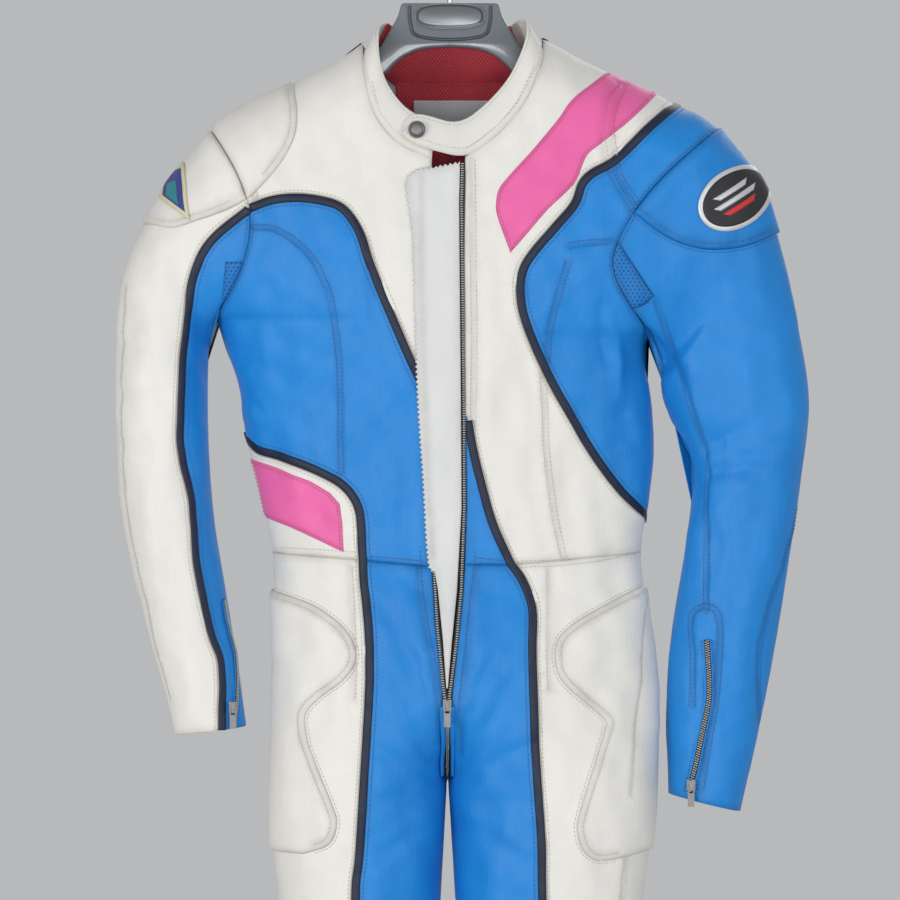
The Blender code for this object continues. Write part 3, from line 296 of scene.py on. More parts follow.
def resampled(points, step):
    """Points every `step` along a polyline, with its ends kept."""
    p = np.asarray(points, float)
    far = lengths(p)
    count = max(2, int(round(far[-1] / step)) + 1)
    return read_at(np.linspace(0, far[-1], count), far, p)


def corners_kept(points, step):
    """Points at most `step` apart along a closed outline, its own corners among them."""
    p = np.asarray(points, float)
    rows = []
    for a, b in zip(p, np.roll(p, -1, axis=0)):
        count = max(1, math.ceil(math.dist(a, b) / step))
        rows.append(a + (b - a) * np.linspace(0, 1, count, endpoint=False)[:, None])
    return np.vstack(rows)


def along(table, key, value):
    """Column `value` of a table, read at its column `key`."""
    rows = np.asarray(table, float)
    rows = rows[np.argsort(rows[:, key])]
    return lambda at: np.interp(at, rows[:, key], rows[:, value])


OUTER_X = {side: along(spline(OUTER[side][1:], 4), 1, 0) for side in OUTER}
INNER_X = {side: along(INNER[side], 1, 0) for side in INNER}
RIDGE_Z = {side: along(RIDGE[side], 0, 1) for side in RIDGE}
DEPTH_AT = {FRONT: along(spline(DEPTH, 3), 0, 1), BACK: along(spline(DEPTH, 3), 0, 2)}


def outer_x(side, z):
    """The half's silhouette: the straight armhole line, then the body's own edge."""
    (x0, z0), (x1, z1) = OUTER[side][:2]
    line = x0 + (x1 - x0) * np.clip((z - z0) / (z1 - z0), 0, 1)
    return np.where(z < z1, line, OUTER_X[side](z))


def half_depth(side, face, x, z):
    """Half depth of a half body at x, z.

    Trunk: [e + (D - e) sqrt(1 - u^2.3)] roll, with u the share from the centre to the silhouette,
    D the depth at that height, e the armhole's depth at the edge, and roll = sqrt(1 - (1 - t)^2)
    with t the share down the shoulder. Leg: D sqrt(1 - |s|^2.2), with s from -1 to 1 between
    its two edges.
    """
    depth = DEPTH_AT[face](z)
    (_, top), (_, foot) = OUTER[side][:2]
    down = np.clip((z - top) / (foot - top), 0, 1)
    edge = np.where(z < foot, ARMHOLE[side][0] * np.sqrt(1 - down**2.5), 0)
    reach = np.abs(outer_x(side, z) - CENTRE_X)
    u = np.clip(SIGN[side] * (x - CENTRE_X) / reach, 0, 1)
    trunk = edge + (depth - edge) * np.sqrt(1 - u**CHEST_FLAT)
    below = np.clip((z - RIDGE_Z[side](x)) / SHOULDER_ROLL, 0, 1)
    trunk = trunk * np.sqrt(1 - (1 - below) ** 2)
    inner, outer = INNER_X[side](z), outer_x(side, z)
    s = np.clip((2 * x - inner - outer) / np.abs(outer - inner), -1, 1)
    leg = depth * np.sqrt(1 - np.abs(s) ** 2.2)
    to_leg = smooth(HIP, CROTCH, z)
    return trunk * (1 - to_leg) + leg * to_leg


def armhole(side, count):
    """The armhole seam: a line from shoulder to underarm that scoops into the trunk."""
    (x0, z0), (x1, z1) = OUTER[side][:2]
    _, scoop, most = ARMHOLE[side]
    w = (1 - np.cos(np.linspace(0, math.pi, count))) / 2
    rise = np.sin(math.pi / 2 * np.minimum(w / most, 1))
    fall = np.cos(math.pi / 2 * np.clip((w - most) / (1 - most), 0, 1))
    inward = np.array([z1 - z0, -(x1 - x0)]) / math.hypot(x1 - x0, z1 - z0)
    if side == LEFT:
        inward = -inward
    line = np.outer(1 - w, (x0, z0)) + np.outer(w, (x1, z1))
    return line + np.outer(scoop * np.where(w < most, rise, fall), inward)


def place(points):
    """Suit millimetres, as rows of x, y, z with z down from the neck, to metres."""
    p = np.asarray(points, float)
    return np.stack([p[..., 0], p[..., 1], -(p[..., 2] + NECK_DROP)], axis=-1) * MM


def nearest(points, to):
    """Distance from each point to the nearest of `to`, in the plan or in space."""
    tree = KDTree(len(to))
    for index, point in enumerate(to):
        tree.insert((*point, 0)[:3], index)
    tree.balance()
    return np.array([tree.find((*point, 0)[:3])[2] for point in points])


class Form:
    """A surface over the plan, known by a grid of points. Its own coordinates run across the
    columns and down the rows, both in about millimetres of cloth."""

    def __init__(self, across, down, x, y, z, armhole_line=None):
        self.across, self.down = np.asarray(across, float), np.asarray(down, float)
        self.grid = np.stack([x, y, z], axis=-1)
        normal = unit(np.cross(np.gradient(self.grid, axis=0), np.gradient(self.grid, axis=1)))
        middle = normal[normal.shape[0] // 2, normal.shape[1] // 2]
        self.normal = normal * (1 if middle[1] * y.mean() > 0 else -1)
        self.armhole_line = armhole_line
        rows, columns = self.grid.shape[:2]
        index = np.arange(rows * columns).reshape(rows, columns)
        a, b, c, d = index[:-1, :-1], index[1:, :-1], index[1:, 1:], index[:-1, 1:]
        self.cells = np.concatenate([np.stack([a, b, c], -1).reshape(-1, 3),
                                     np.stack([a, c, d], -1).reshape(-1, 3)])
        flat = self.grid.reshape(-1, 3) * (1, 0, 1)
        self.own = np.stack(np.meshgrid(self.across, self.down), axis=-1).reshape(-1, 2)
        self.flat = flat[:, ::2]
        self.tree = BVHTree.FromPolygons(flat.tolist(), self.cells.tolist(), all_triangles=True)

    def locate(self, plan):
        """Own coordinates of plan points; a point off the form goes to its nearest edge."""
        found = []
        for x, z in np.asarray(plan, float):
            spot, _, index, _ = self.tree.find_nearest((x, 0, z))
            cell = self.cells[index]
            a, b, c = self.flat[cell]
            matrix = np.array([b - a, c - a]).T
            size = matrix[0, 0] * matrix[1, 1] - matrix[0, 1] * matrix[1, 0]
            gap = np.array([spot[0], spot[2]]) - a
            if abs(size) < 1e-9:
                found.append(self.own[cell[0]])
                continue
            v = (gap[0] * matrix[1, 1] - gap[1] * matrix[0, 1]) / size
            w = (gap[1] * matrix[0, 0] - gap[0] * matrix[1, 0]) / size
            first, second, third = self.own[cell]
            found.append(first + (second - first) * v + (third - first) * w)
        return np.array(found)

    def read(self, own, values):
        """The grid's values at own coordinates, between its points."""
        column = np.interp(own[:, 0], self.across, np.arange(len(self.across)))
        row = np.interp(own[:, 1], self.down, np.arange(len(self.down)))
        i = np.minimum(row.astype(int), len(self.down) - 2)
        j = np.minimum(column.astype(int), len(self.across) - 2)
        v, w = (row - i)[:, None], (column - j)[:, None]
        return ((values[i, j] * (1 - w) + values[i, j + 1] * w) * (1 - v)
                + (values[i + 1, j] * (1 - w) + values[i + 1, j + 1] * w) * v)

    def surface(self, own):
        """Points and outward normals at own coordinates."""
        return self.read(own, self.grid), unit(self.read(own, self.normal))

    def calm(self, own, points):
        """1 inside the form, 0 at edges that another form continues."""
        first, last = self.across[0], self.across[-1]
        gap = np.minimum(own[:, 0] - first, last - own[:, 0])
        gap = np.minimum(gap, own[:, 1] - self.down[0])
        fade = smooth(0, FADE, gap)
        if self.armhole_line is not None:
            fade = fade * smooth(0, FADE, nearest(points[:, ::2], self.armhole_line))
        return fade


def body_form(side, face):
    """Half a body. Rows run from the shoulder ridge down to the ankle and fan out level by the
    waist; columns run from the centre to the silhouette, evenly in angle."""
    turn = SHOULDER_ROLL * math.pi / 2
    down = np.linspace(0, turn + ANKLE - NECK - SHOULDER_ROLL, BODY_ROWS)
    roll = SHOULDER_ROLL * (1 - np.cos(np.minimum(down, turn) / SHOULDER_ROLL))
    levels = NECK + roll + np.maximum(down - turn, 0)
    angle = np.linspace(0, math.pi / 2, BODY_COLUMNS)
    level, turned = np.meshgrid(levels, angle, indexing="ij")
    share = np.sin(turned)
    across = (1 - np.cos(2 * turned)) / 2
    z = level.copy()
    for _ in range(6):
        edge = outer_x(side, z)
        below = smooth(CROTCH - 1, CROTCH, level)
        inner = CENTRE_X * (1 - below) + INNER_X[side](z) * below
        to_leg = smooth(HIP, CROTCH, level)
        x = inner + (share * (1 - to_leg) + across * to_leg) * (edge - inner)
        top = RIDGE_Z[side](x)
        fan = (RIDGE_BLEND - top) / (RIDGE_BLEND - levels[0])
        z = np.where(level < RIDGE_BLEND, top + (level - levels[0]) * fan, level)
    deep = AWAY[face] * half_depth(side, face, x, z)
    return Form(angle / (math.pi / 2) * BODY_WIDE, down, x, deep, z, armhole(side, 60))


def sleeve_form(side, face):
    """Half a sleeve: smooth rows through ovals, from the armhole's shape to the cuff."""
    start = armhole(side, SLEEVE_COLUMNS)
    depth = half_depth(side, face, start[:, 0], start[:, 1])
    rings = [(start[:, 0], start[:, 1], depth)]
    s = -np.cos(np.linspace(0, math.pi, SLEEVE_COLUMNS))
    for ox, oz, ix, iz, deep in SLEEVE[side]:
        share = (1 + s) / 2
        rings.append((ox + (ix - ox) * share, oz + (iz - oz) * share, deep * np.sqrt(1 - s * s)))
    rings = np.array(rings)
    surface = spline(rings.reshape(len(rings), -1), 16).reshape(-1, 3, SLEEVE_COLUMNS)
    x, z, deep = surface.transpose(1, 0, 2)
    deep = np.maximum(deep, 0)
    steps = np.hypot(np.diff(x, axis=0), np.diff(z, axis=0)).mean(axis=1)
    down = np.concatenate([[0], np.cumsum(steps)])
    return Form(np.linspace(0, SLEEVE_WIDE, SLEEVE_COLUMNS), down, x, AWAY[face] * deep, z)


def centre_form(face):
    """The middle of the front, or of the back's neck, across both halves."""
    levels = np.arange(150, 796, 5) if face == FRONT else np.arange(60, 166, 3)
    z, x = np.meshgrid(levels, np.linspace(-64, 64, 65), indexing="ij")
    deep = np.where(x < CENTRE_X, half_depth(RIGHT, face, x, z), half_depth(LEFT, face, x, z))
    return Form(x[0], levels, x, AWAY[face] * deep, z)


MAKERS = {"body": body_form, "sleeve": sleeve_form, "centre": centre_form}
FORMS = {}


def form(kind, side, face=FRONT):
    """The form of this kind, made once. The centre's has no side."""
    key = (face,) if kind == "centre" else (side, face)
    if (kind, key) not in FORMS:
        FORMS[kind, key] = MAKERS[kind](*key)
    return FORMS[kind, key]


def folds(kind, face, x, z):
    """Height of the leather's folds: each is a soft ridge or trough h exp(-(d/w)^2) along its
    line, with a slow unevenness of a few long waves everywhere."""
    tables = {("body", FRONT): FRONT_FOLDS, ("body", BACK): BACK_FOLDS}
    table = tables.get((kind, face), SLEEVE_FOLDS)
    height = np.zeros_like(x)
    for x0, z0, x1, z1, wide, high in table:
        step = np.array([x1 - x0, z1 - z0], float)
        length = math.hypot(*step)
        t = ((x - x0) * step[0] + (z - z0) * step[1]) / length**2
        off = ((x - x0) * step[1] - (z - z0) * step[0]) / length
        off = off + 0.35 * wide * np.sin(5 * t + x0) + 0.12 * wide * np.sin(17 * t + z0)
        taper = smooth(-0.25, 0.3, t) * (1 - smooth(0.7, 1.25, t))
        height += high * taper * np.exp(-((off / wide) ** 2))
    turn = 1.0 if face == FRONT else 1.9
    for index, (long, high) in enumerate(((83, 0.9), (57, 0.6), (41, 0.45), (29, 0.3), (19, 0.16))):
        a = 2.4 * index + turn
        wave = (x * math.cos(a) * 1.35 + z * math.sin(a) * 0.75) * 2 * math.pi / long
        height += high * np.sin(wave + 1.3 * np.sin((x + z) / 61 + index) + 2 * index)
    return height


def linked(name, data):
    """A new object in the scene."""
    thing = bpy.data.objects.new(name, data)
    bpy.context.collection.objects.link(thing)
    return thing


def mesh_object(name, points, faces):
    """A smooth mesh in the scene, from points in metres."""
    mesh = bpy.data.meshes.new(name)
    points = np.asarray(points, np.float32)
    faces = [tuple(int(i) for i in face) for face in faces]
    mesh.from_pydata(points.tolist(), [], faces)
    mesh.shade_smooth()
    mesh.update()
    return linked(name, mesh)


def painted(thing, values):
    """Stores one number for each vertex, which the leather's soil reads."""
    layer = thing.data.attributes.new("seam", "FLOAT", "POINT")
    layer.data.foreach_set("value", np.asarray(values, np.float32))
    return thing


def finished(thing, colour, nodes=()):
    """Material, body, the CAD nodes that a piece stands for, and its material slot."""
    thing.data.materials.append(look(colour))
    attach(thing, "suit")
    if nodes:
        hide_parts(*nodes)
    return thing


def normals_of(points, faces):
    """Area-weighted vertex normals of triangles."""
    a, b, c = (points[faces[:, i]] for i in range(3))
    cross = np.cross(b - a, c - a)
    found = np.zeros_like(points)
    for i in range(3):
        np.add.at(found, faces[:, i], cross)
    return unit(found)


def area_of(points, faces):
    """Area of triangles."""
    a, b, c = (points[faces[:, i]] for i in range(3))
    return np.linalg.norm(np.cross(b - a, c - a), axis=1).sum() / 2


def signed_area(edge):
    """Twice the area within an outline, below 0 where it runs clockwise."""
    return np.sum(edge[:, 0] * np.roll(edge[:, 1], -1) - np.roll(edge[:, 0], -1) * edge[:, 1])


def within(points, edge):
    """Which points lie inside the outline: those with an odd number of crossings to one side."""
    inside = np.zeros(len(points), bool)
    for (x0, y0), (x1, y1) in zip(edge, np.roll(edge, -1, axis=0)):
        if y0 == y1:
            continue
        spans = (points[:, 1] > y0) != (points[:, 1] > y1)
        inside ^= spans & (points[:, 0] < x0 + (points[:, 1] - y0) * (x1 - x0) / (y1 - y0))
    return inside


def inward(edge, by):
    """The counter-clockwise outline's points moved inwards, across their own direction."""
    return edge - aside(np.roll(edge, -1, axis=0) - np.roll(edge, 1, axis=0)) * by


EDGE_STEP, GROOVE_STEP = 3.0, 2.6  # between points along an outline and along a groove
EDGE_ROWS, GROOVE_ROW = (1.5, 3.4), 1.6  # rows of points inside an outline, beside a groove
ROW_SHARE, CLEAR_SHARE = 0.87, 0.62  # of the spacing: between lattice rows, and round the rest
FAR_OFF = 99.0  # from a groove, where a panel has none


class Cut:
    """The part of a form inside an outline, as triangles. Rows of vertices follow the outline and
    the grooves, so that seams stay sharp; the rest is an even lattice."""

    def __init__(self, shape, outline, spacing, grooves=()):
        self.shape = shape
        edge = shape.locate(corners_kept(outline, EDGE_STEP))
        edge = edge[np.linalg.norm(edge - np.roll(edge, 1, axis=0), axis=1) > 0.2]
        if signed_area(edge) < 0:
            edge = edge[::-1]
        lines = [shape.locate(resampled(spline(line, 6), GROOVE_STEP)) for line in grooves]
        extra = [inward(edge, row) for row in EDGE_ROWS]
        for line in lines:
            side = aside(np.gradient(line, axis=0)) * GROOVE_ROW
            extra += [line, line - side, line + side]
        low, high = edge.min(axis=0), edge.max(axis=0)
        rows = []
        for i, level in enumerate(np.arange(low[1], high[1], spacing * ROW_SHARE)):
            row = np.arange(low[0] + (i % 2) * spacing / 2, high[0], spacing)
            rows.append(np.column_stack([row, np.full(len(row), level)]))
        lattice = np.vstack(rows)
        near = np.vstack([edge, *extra])
        lattice = lattice[nearest(lattice, near) > spacing * CLEAR_SHARE]
        extra = np.vstack(extra)
        extra = extra[nearest(extra, edge) > 1.0]
        wobble = np.sin(np.arange(len(lattice)) * 12.9898) * 0.2
        lattice = lattice + np.stack([wobble, wobble[::-1]], axis=1)
        points = np.vstack([edge, extra, lattice])
        ring = [(i, (i + 1) % len(edge)) for i in range(len(edge))]
        found = delaunay_2d_cdt([Vector(p) for p in points], ring, [], 0, 0.02)
        own = np.array([tuple(v) for v in found[0]])
        faces = np.array([face for face in found[2] if len(face) == 3])
        faces = faces[within(own[faces].mean(axis=1), edge)]
        used, faces = np.unique(faces, return_inverse=True)
        self.own, self.faces = own[used], faces.reshape(-1, 3)
        self.base, self.normal = shape.surface(self.own)
        flat = normals_of(self.base, self.faces)
        if (flat * self.normal).sum(axis=1).mean() > 0:  # z runs down here, so this mirrors them
            self.faces = self.faces[:, ::-1]
        self.from_rim = nearest(self.base, shape.surface(edge)[0])
        self.from_groove = np.full(len(self.base), FAR_OFF)
        if lines:
            grooved = np.vstack([shape.surface(line)[0] for line in lines])
            self.from_groove = nearest(self.base, grooved)


def thin(thing, wall):
    """Gives a surface its leather's thickness, on the inner side."""
    step = thing.modifiers.new("thickness", "SOLIDIFY")
    step.thickness = wall * MM
    step.offset = -1
    step.use_even_offset = False


# How a panel is built: as a sheet, as a padded piece, or with the badge it lies on. Only a sheet
# keeps its cut, in CUTS.
PLAIN, PADDED, EMBROIDERY = "plain", "padded", "embroidery"
CUTS = []  # the plain panels and their cuts
# Reach of the dip and of the painted shade and dirt, at a panel's rim and at a groove.
RIM_DIP, GROOVE_DIP, RIM_SHADE_AND_DIRT, GROOVE_SHADE_AND_DIRT = 1.9, 1.5, 5, 3.5
SMALL = 0.02  # square metres


def panel(name, outline, kind, side, colour, face=FRONT, over=0.0, wall=WALL, spacing=4.4,
          grooves=(), build=PLAIN, puff=(0.0, 12.0), nodes=None, seam_deep=0.9):
    """One leather panel: the form's surface plus folds, less a soft dip at its seams,
    -s exp(-(d/w)^2) at d from the outline or a groove, and for a pad a rise that fills up
    over the first few millimetres from its edge."""
    shape = form(kind, side, face)
    cut = Cut(shape, outline, spacing, grooves)
    x, z = cut.base[:, 0], cut.base[:, 2]
    height = folds(kind, face, x, z) * shape.calm(cut.own, cut.base)
    # the dip shapes the seams; the second sum is the share of painted shade and dirt beside them
    dip, seam_shade_and_dirt = (np.exp(-((cut.from_rim / rim) ** 2)) + np.exp(-((cut.from_groove / groove) ** 2))
                 for rim, groove in ((RIM_DIP, GROOVE_DIP), (RIM_SHADE_AND_DIRT, GROOVE_SHADE_AND_DIRT)))
    high, over_span = puff
    rise = high * np.sqrt(1 - (1 - np.clip(cut.from_rim / over_span, 0, 1)) ** 2)
    points = cut.base + cut.normal * (over + height + rise - seam_deep * dip)[:, None]
    thing = mesh_object(name, place(points), cut.faces)
    painted(thing, seam_shade_and_dirt)
    thin(thing, wall)
    finished(thing, colour, nodes if nodes is not None else (name[2:],))
    if build == PADDED:
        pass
    elif build == PLAIN:
        CUTS.append((thing, cut))


def declared(cut):
    """States a panel's cut: its own area and the least rectangle of cloth that holds it, read
    off the form's coordinates, which run in millimetres, or off its own plane when small."""
    area = area_of(cut.base, cut.faces) * MM * MM
    flat = cut.own - cut.own.mean(axis=0)
    if area < SMALL:
        middle = cut.base - cut.base.mean(axis=0)
        flat = middle @ np.linalg.svd(middle, full_matrices=False)[2][:2].T
    best = None
    for turn in np.radians(np.arange(0, 90, 3)):
        spun = flat @ np.array([[math.cos(turn), -math.sin(turn)],
                               [math.sin(turn), math.cos(turn)]])
        size = (spun.max(axis=0) - spun.min(axis=0)) * MM
        if best is None or size.prod() < best.prod():
            best = size
    scale = math.sqrt(max(1.0, area / best.prod()) * 1.002)
    wide, long = sorted(best * scale)


def line_on(kind, side, line, face=FRONT, step=2.5, over=0.0, curve=True, beside=0.0):
    """A plan line laid on a form: points, outward normals and sideways directions in space."""
    shape = form(kind, side, face)
    plan = resampled(spline(line, 6) if curve else line, step)
    own = shape.locate(plan)
    gap = np.linalg.norm(np.diff(own, axis=0), axis=1)
    own = own[np.concatenate([[True], gap > 0.25 * step])]
    base, normal = shape.surface(own)
    height = folds(kind, face, base[:, 0], base[:, 2]) * shape.calm(own, base)
    if curve:
        base, normal = smoothed(base, 3), smoothed(normal, 3)
    across = unit(np.cross(np.gradient(base, axis=0), normal))
    points = base + normal * (over + height)[:, None] + across * beside
    return points, normal, across


def smoothed(points, times):
    """Evens out a line of points, its ends held."""
    p = points.copy()
    for _ in range(times):
        p[1:-1] = (p[:-2] + 2 * p[1:-1] + p[2:]) / 4
    return p


def skin(rings):
    """The points and faces of a closed body through rings of points, with a cap at each end."""
    count, wide = rings.shape[:2]
    index = np.arange(count * wide).reshape(count, wide)
    after = np.roll(index, -1, axis=1)
    sides = np.stack([index[:-1], after[:-1], after[1:], index[1:]], axis=-1).reshape(-1, 4)
    return rings.reshape(-1, 3), [*sides.tolist(), index[0].tolist(), index[-1][::-1].tolist()]


def ribbon(points, normal, across, profile):
    """A closed bar along a line; profile columns are across, out."""
    profile = np.asarray(profile, float)
    return skin(points[:, None] + across[:, None] * profile[None, :, :1]
                + normal[:, None] * profile[None, :, 1:])


def outward(thing):
    """Turns a closed mesh's faces outwards."""
    edit = bmesh.new()
    edit.from_mesh(thing.data)
    bmesh.ops.recalc_face_normals(edit, faces=edit.faces)
    edit.to_mesh(thing.data)
    edit.free()
    return thing


def gathered(name, parts):
    """One object from several lists of points and faces."""
    points, faces, start = [], [], 0
    for part_points, part_faces in parts:
        points.append(np.asarray(part_points, float))
        faces += [[i + start for i in face] for face in part_faces]
        start += len(part_points)
    return outward(mesh_object(name, place(np.vstack(points)), faces))


BAND_PROFILE = ((-4.3, -0.2), (-4.1, 0.7), (-3.0, 1.35), (-1.5, 1.6), (0, 1.65), (1.5, 1.6),
                (3.0, 1.35), (4.1, 0.7), (4.3, -0.2))
BAND_EDGE_OFF = 4.9
EDGE_PROFILE = ((-0.75, -0.2), (-0.6, 0.75), (0.6, 0.8), (0.75, -0.2))


def capsule(centre, along_line, normal, across, long=3.0, wide=0.42):
    """A short thread: four square rings, the outer two small, and a cap at each end."""
    rows = []
    for t, r in ((-0.5, 0.35), (-0.3, 1), (0.3, 1), (0.5, 0.35)):
        for a, b in ((1, 0), (0, 1), (-1, 0), (0, -1)):
            lift = 0.25 * (1 - (2 * t) ** 2)
            rows.append(centre + along_line * (t * long) + across * (a * r * wide)
                        + normal * (b * r * wide * 0.8 + lift))
    faces = [[k * 4 + i, k * 4 + (i + 1) % 4, k * 4 + 4 + (i + 1) % 4, k * 4 + 4 + i]
             for k in range(3) for i in range(4)]
    return rows, [*faces, [0, 1, 2, 3], [15, 14, 13, 12]]


def stitches(kind, side, line, face=FRONT, beside=0.0, over=0.1, pitch=4.2, curve=True):
    """Threads every `pitch` along a plan line."""
    rows = line_on(kind, side, line, face, 1.0, over, curve, beside)
    if len(rows[0]) < 4:
        return []
    far = lengths(rows[0])
    at = np.arange(pitch / 2, far[-1], pitch)
    middle, out, across = (read_at(at, far, row) for row in rows)
    forward = unit(np.cross(out, across))
    return [capsule(*row) for row in zip(middle, forward, out, across)]


class Number:
    """A shader socket that takes part in sums; each sum becomes a Math node."""

    def __init__(self, graph, socket):
        self.graph, self.socket = graph, socket

    def math(self, operation, *others):
        return self.graph.add("ShaderNodeMath", (self, *others), operation=operation)

    def __add__(self, other):
        return self.math("ADD", other)

    def __sub__(self, other):
        return self.math("SUBTRACT", other)

    def __mul__(self, other):
        return self.math("MULTIPLY", other)

    def __truediv__(self, other):
        return self.math("DIVIDE", other)

    def __pow__(self, other):
        return self.math("POWER", other)

    def __abs__(self):
        return self.math("ABSOLUTE")


class Graph:
    """A material's nodes."""

    def __init__(self, name):
        self.material = bpy.data.materials.new(name)
        self.material.use_nodes = True
        self.nodes, self.links = self.material.node_tree.nodes, self.material.node_tree.links
        self.shader = self.nodes["Principled BSDF"]

    def add(self, kind, inputs=(), output=0, **settings):
        """A node of this kind with its inputs set or linked; gives back one output."""
        node = self.nodes.new(kind)
        for key, value in settings.items():
            setattr(node, key, value)
        pairs = inputs.items() if isinstance(inputs, dict) else enumerate(inputs)
        for key, value in pairs:
            self.give(node.inputs[key], value)
        return Number(self, node.outputs[output])

    def give(self, socket, value):
        if isinstance(value, Number):
            self.links.new(value.socket, socket)
        else:
            socket.default_value = value

    def mix(self, factor, first, second):
        """A colour between two."""
        node = self.nodes.new("ShaderNodeMix")
        node.data_type = "RGBA"
        colours = [s for s in node.inputs if s.type == "RGBA"]
        self.give(node.inputs[0], factor)
        for socket, value in zip(colours, (first, second)):
            self.give(socket, value if isinstance(value, Number) else (*value, 1))
        return Number(self, next(s for s in node.outputs if s.type == "RGBA"))

    def noise(self, place, scale, detail=2.0, roughness=0.5):
        return self.add("ShaderNodeTexNoise", {"Vector": place, "Scale": scale, "Detail": detail,
                                               "Roughness": roughness}, "Fac")

    def place(self, stretch=(1, 1, 1)):
        """Object coordinates, in metres, stretched by these."""
        spot = self.add("ShaderNodeTexCoord", output="Object")
        return self.add("ShaderNodeVectorMath", (spot, stretch), operation="MULTIPLY")

    def bump(self, height, distance, strength=1.0):
        made = self.add("ShaderNodeBump", {"Height": height, "Distance": distance,
                                           "Strength": strength}, "Normal")
        self.give(self.shader.inputs["Normal"], made)

    def set(self, **values):
        names = {"colour": "Base Color", "roughness": "Roughness", "metallic": "Metallic",
                 "coat": "Coat Weight", "specular": "Specular IOR Level"}
        for key, value in values.items():
            if key == "colour" and not isinstance(value, Number):
                value = (*value, 1)
            self.give(self.shader.inputs[names[key]], value)
        return self.material


def leather(name, colour, dark, seam_shade_and_dirt, roughness=0.46, grain=1.0, lines=1.0, holes=False):
    """Smooth cowhide: fine pebbles, long creases that run down, a slow change of tone, and soil
    along the seams. With holes it is punched in staggered rows."""
    graph = Graph(name)
    spot = graph.place()
    broad = graph.noise(spot, 6.5, 3.0)
    patchy = graph.noise(spot, 34, 4.0, 0.6)
    fine = graph.noise(spot, 520, 3.0)
    pebble = graph.add("ShaderNodeTexVoronoi", {"Vector": spot, "Scale": 560}, "Distance")
    long = graph.noise(graph.place((1, 1, 0.13)), 120, 4.0, 0.62)
    slant = graph.noise(graph.place((1, 1, 0.4)), 46, 3.0, 0.55)
    seam = graph.add("ShaderNodeAttribute", output="Fac", attribute_name="seam")
    # random tone, plus painted shade in the hollows of the long creases, which the bump lowers too
    tone_and_crease_shade = broad * 0.9 + patchy * 0.5 + abs(long - 0.5) * lines * 0.7 - 0.45
    cloth = graph.mix(tone_and_crease_shade.math("MINIMUM", 1).math("MAXIMUM", 0), dark, colour)
    # painted shade, with dirt, along the seams where the leather dips, blotched by noise
    seam_shade_and_dirt_share = (seam * (patchy * 1.3 - 0.1)).math("MINIMUM", 1).math("MAXIMUM", 0) * 0.5
    cloth = graph.mix(seam_shade_and_dirt_share, cloth, seam_shade_and_dirt)
    height = (pebble * 0.2 + fine * 0.22) * grain + abs(long - 0.5) * 1.1 * lines \
        + abs(slant - 0.5) * 1.2 * lines
    if holes:
        x, z = (graph.add("ShaderNodeSeparateXYZ", (spot,), axis) for axis in (0, 2))
        row = z / 0.0037
        across = (x / 0.0045 + (row * 0.5).math("FRACT").math("LESS_THAN", 0.5) * 0.5).math(
            "FRACT") - 0.5
        down = row.math("FRACT") - 0.5
        off = (across * across + down * down) ** 0.5
        hole = off.math("LESS_THAN", 0.19)
        # painted shade: each hole is coloured near black, for the dark seen into it
        cloth = graph.mix(hole * 0.85, cloth, (0.005, 0.015, 0.04))
        height = height - hole * 2
    graph.bump(height, 0.0009, 0.42)
    return graph.set(colour=cloth, roughness=patchy * 0.16 + (roughness - 0.08), specular=0.3)


def plain(name, colour, roughness=0.5, metallic=0.0, coat=0.0, grain=0.0, scale=300):
    """One even finish with a faint surface."""
    graph = Graph(name)
    spot = graph.place()
    rough = graph.noise(spot, scale, 3.0)
    if grain:
        graph.bump(rough, 0.0006, grain)
    return graph.set(colour=colour, roughness=rough * 0.12 + (roughness - 0.06),
                     metallic=metallic, coat=coat)


def mesh_cloth(name, colour, dark, pitch):
    """A knitted net: holes in staggered rows."""
    graph = Graph(name)
    spot = graph.place()
    x, z = (graph.add("ShaderNodeSeparateXYZ", (spot,), axis) for axis in (0, 2))
    wave = 2 * math.pi / pitch
    net = (x * wave).math("SINE") * (z * wave * 0.8).math("SINE") * 0.5 + 0.5
    graph.bump(net, 0.0008, 0.7)
    # painted shade: the net is darker where its bump is low, in the holes
    colour = graph.mix(net ** 1.5, dark, colour)
    return graph.set(colour=colour, roughness=0.8)


LOOKS = {}


def look(name):
    """A material by its name, made once."""
    if name not in LOOKS:
        LOOKS[name] = MATERIALS[name]()
    return LOOKS[name]
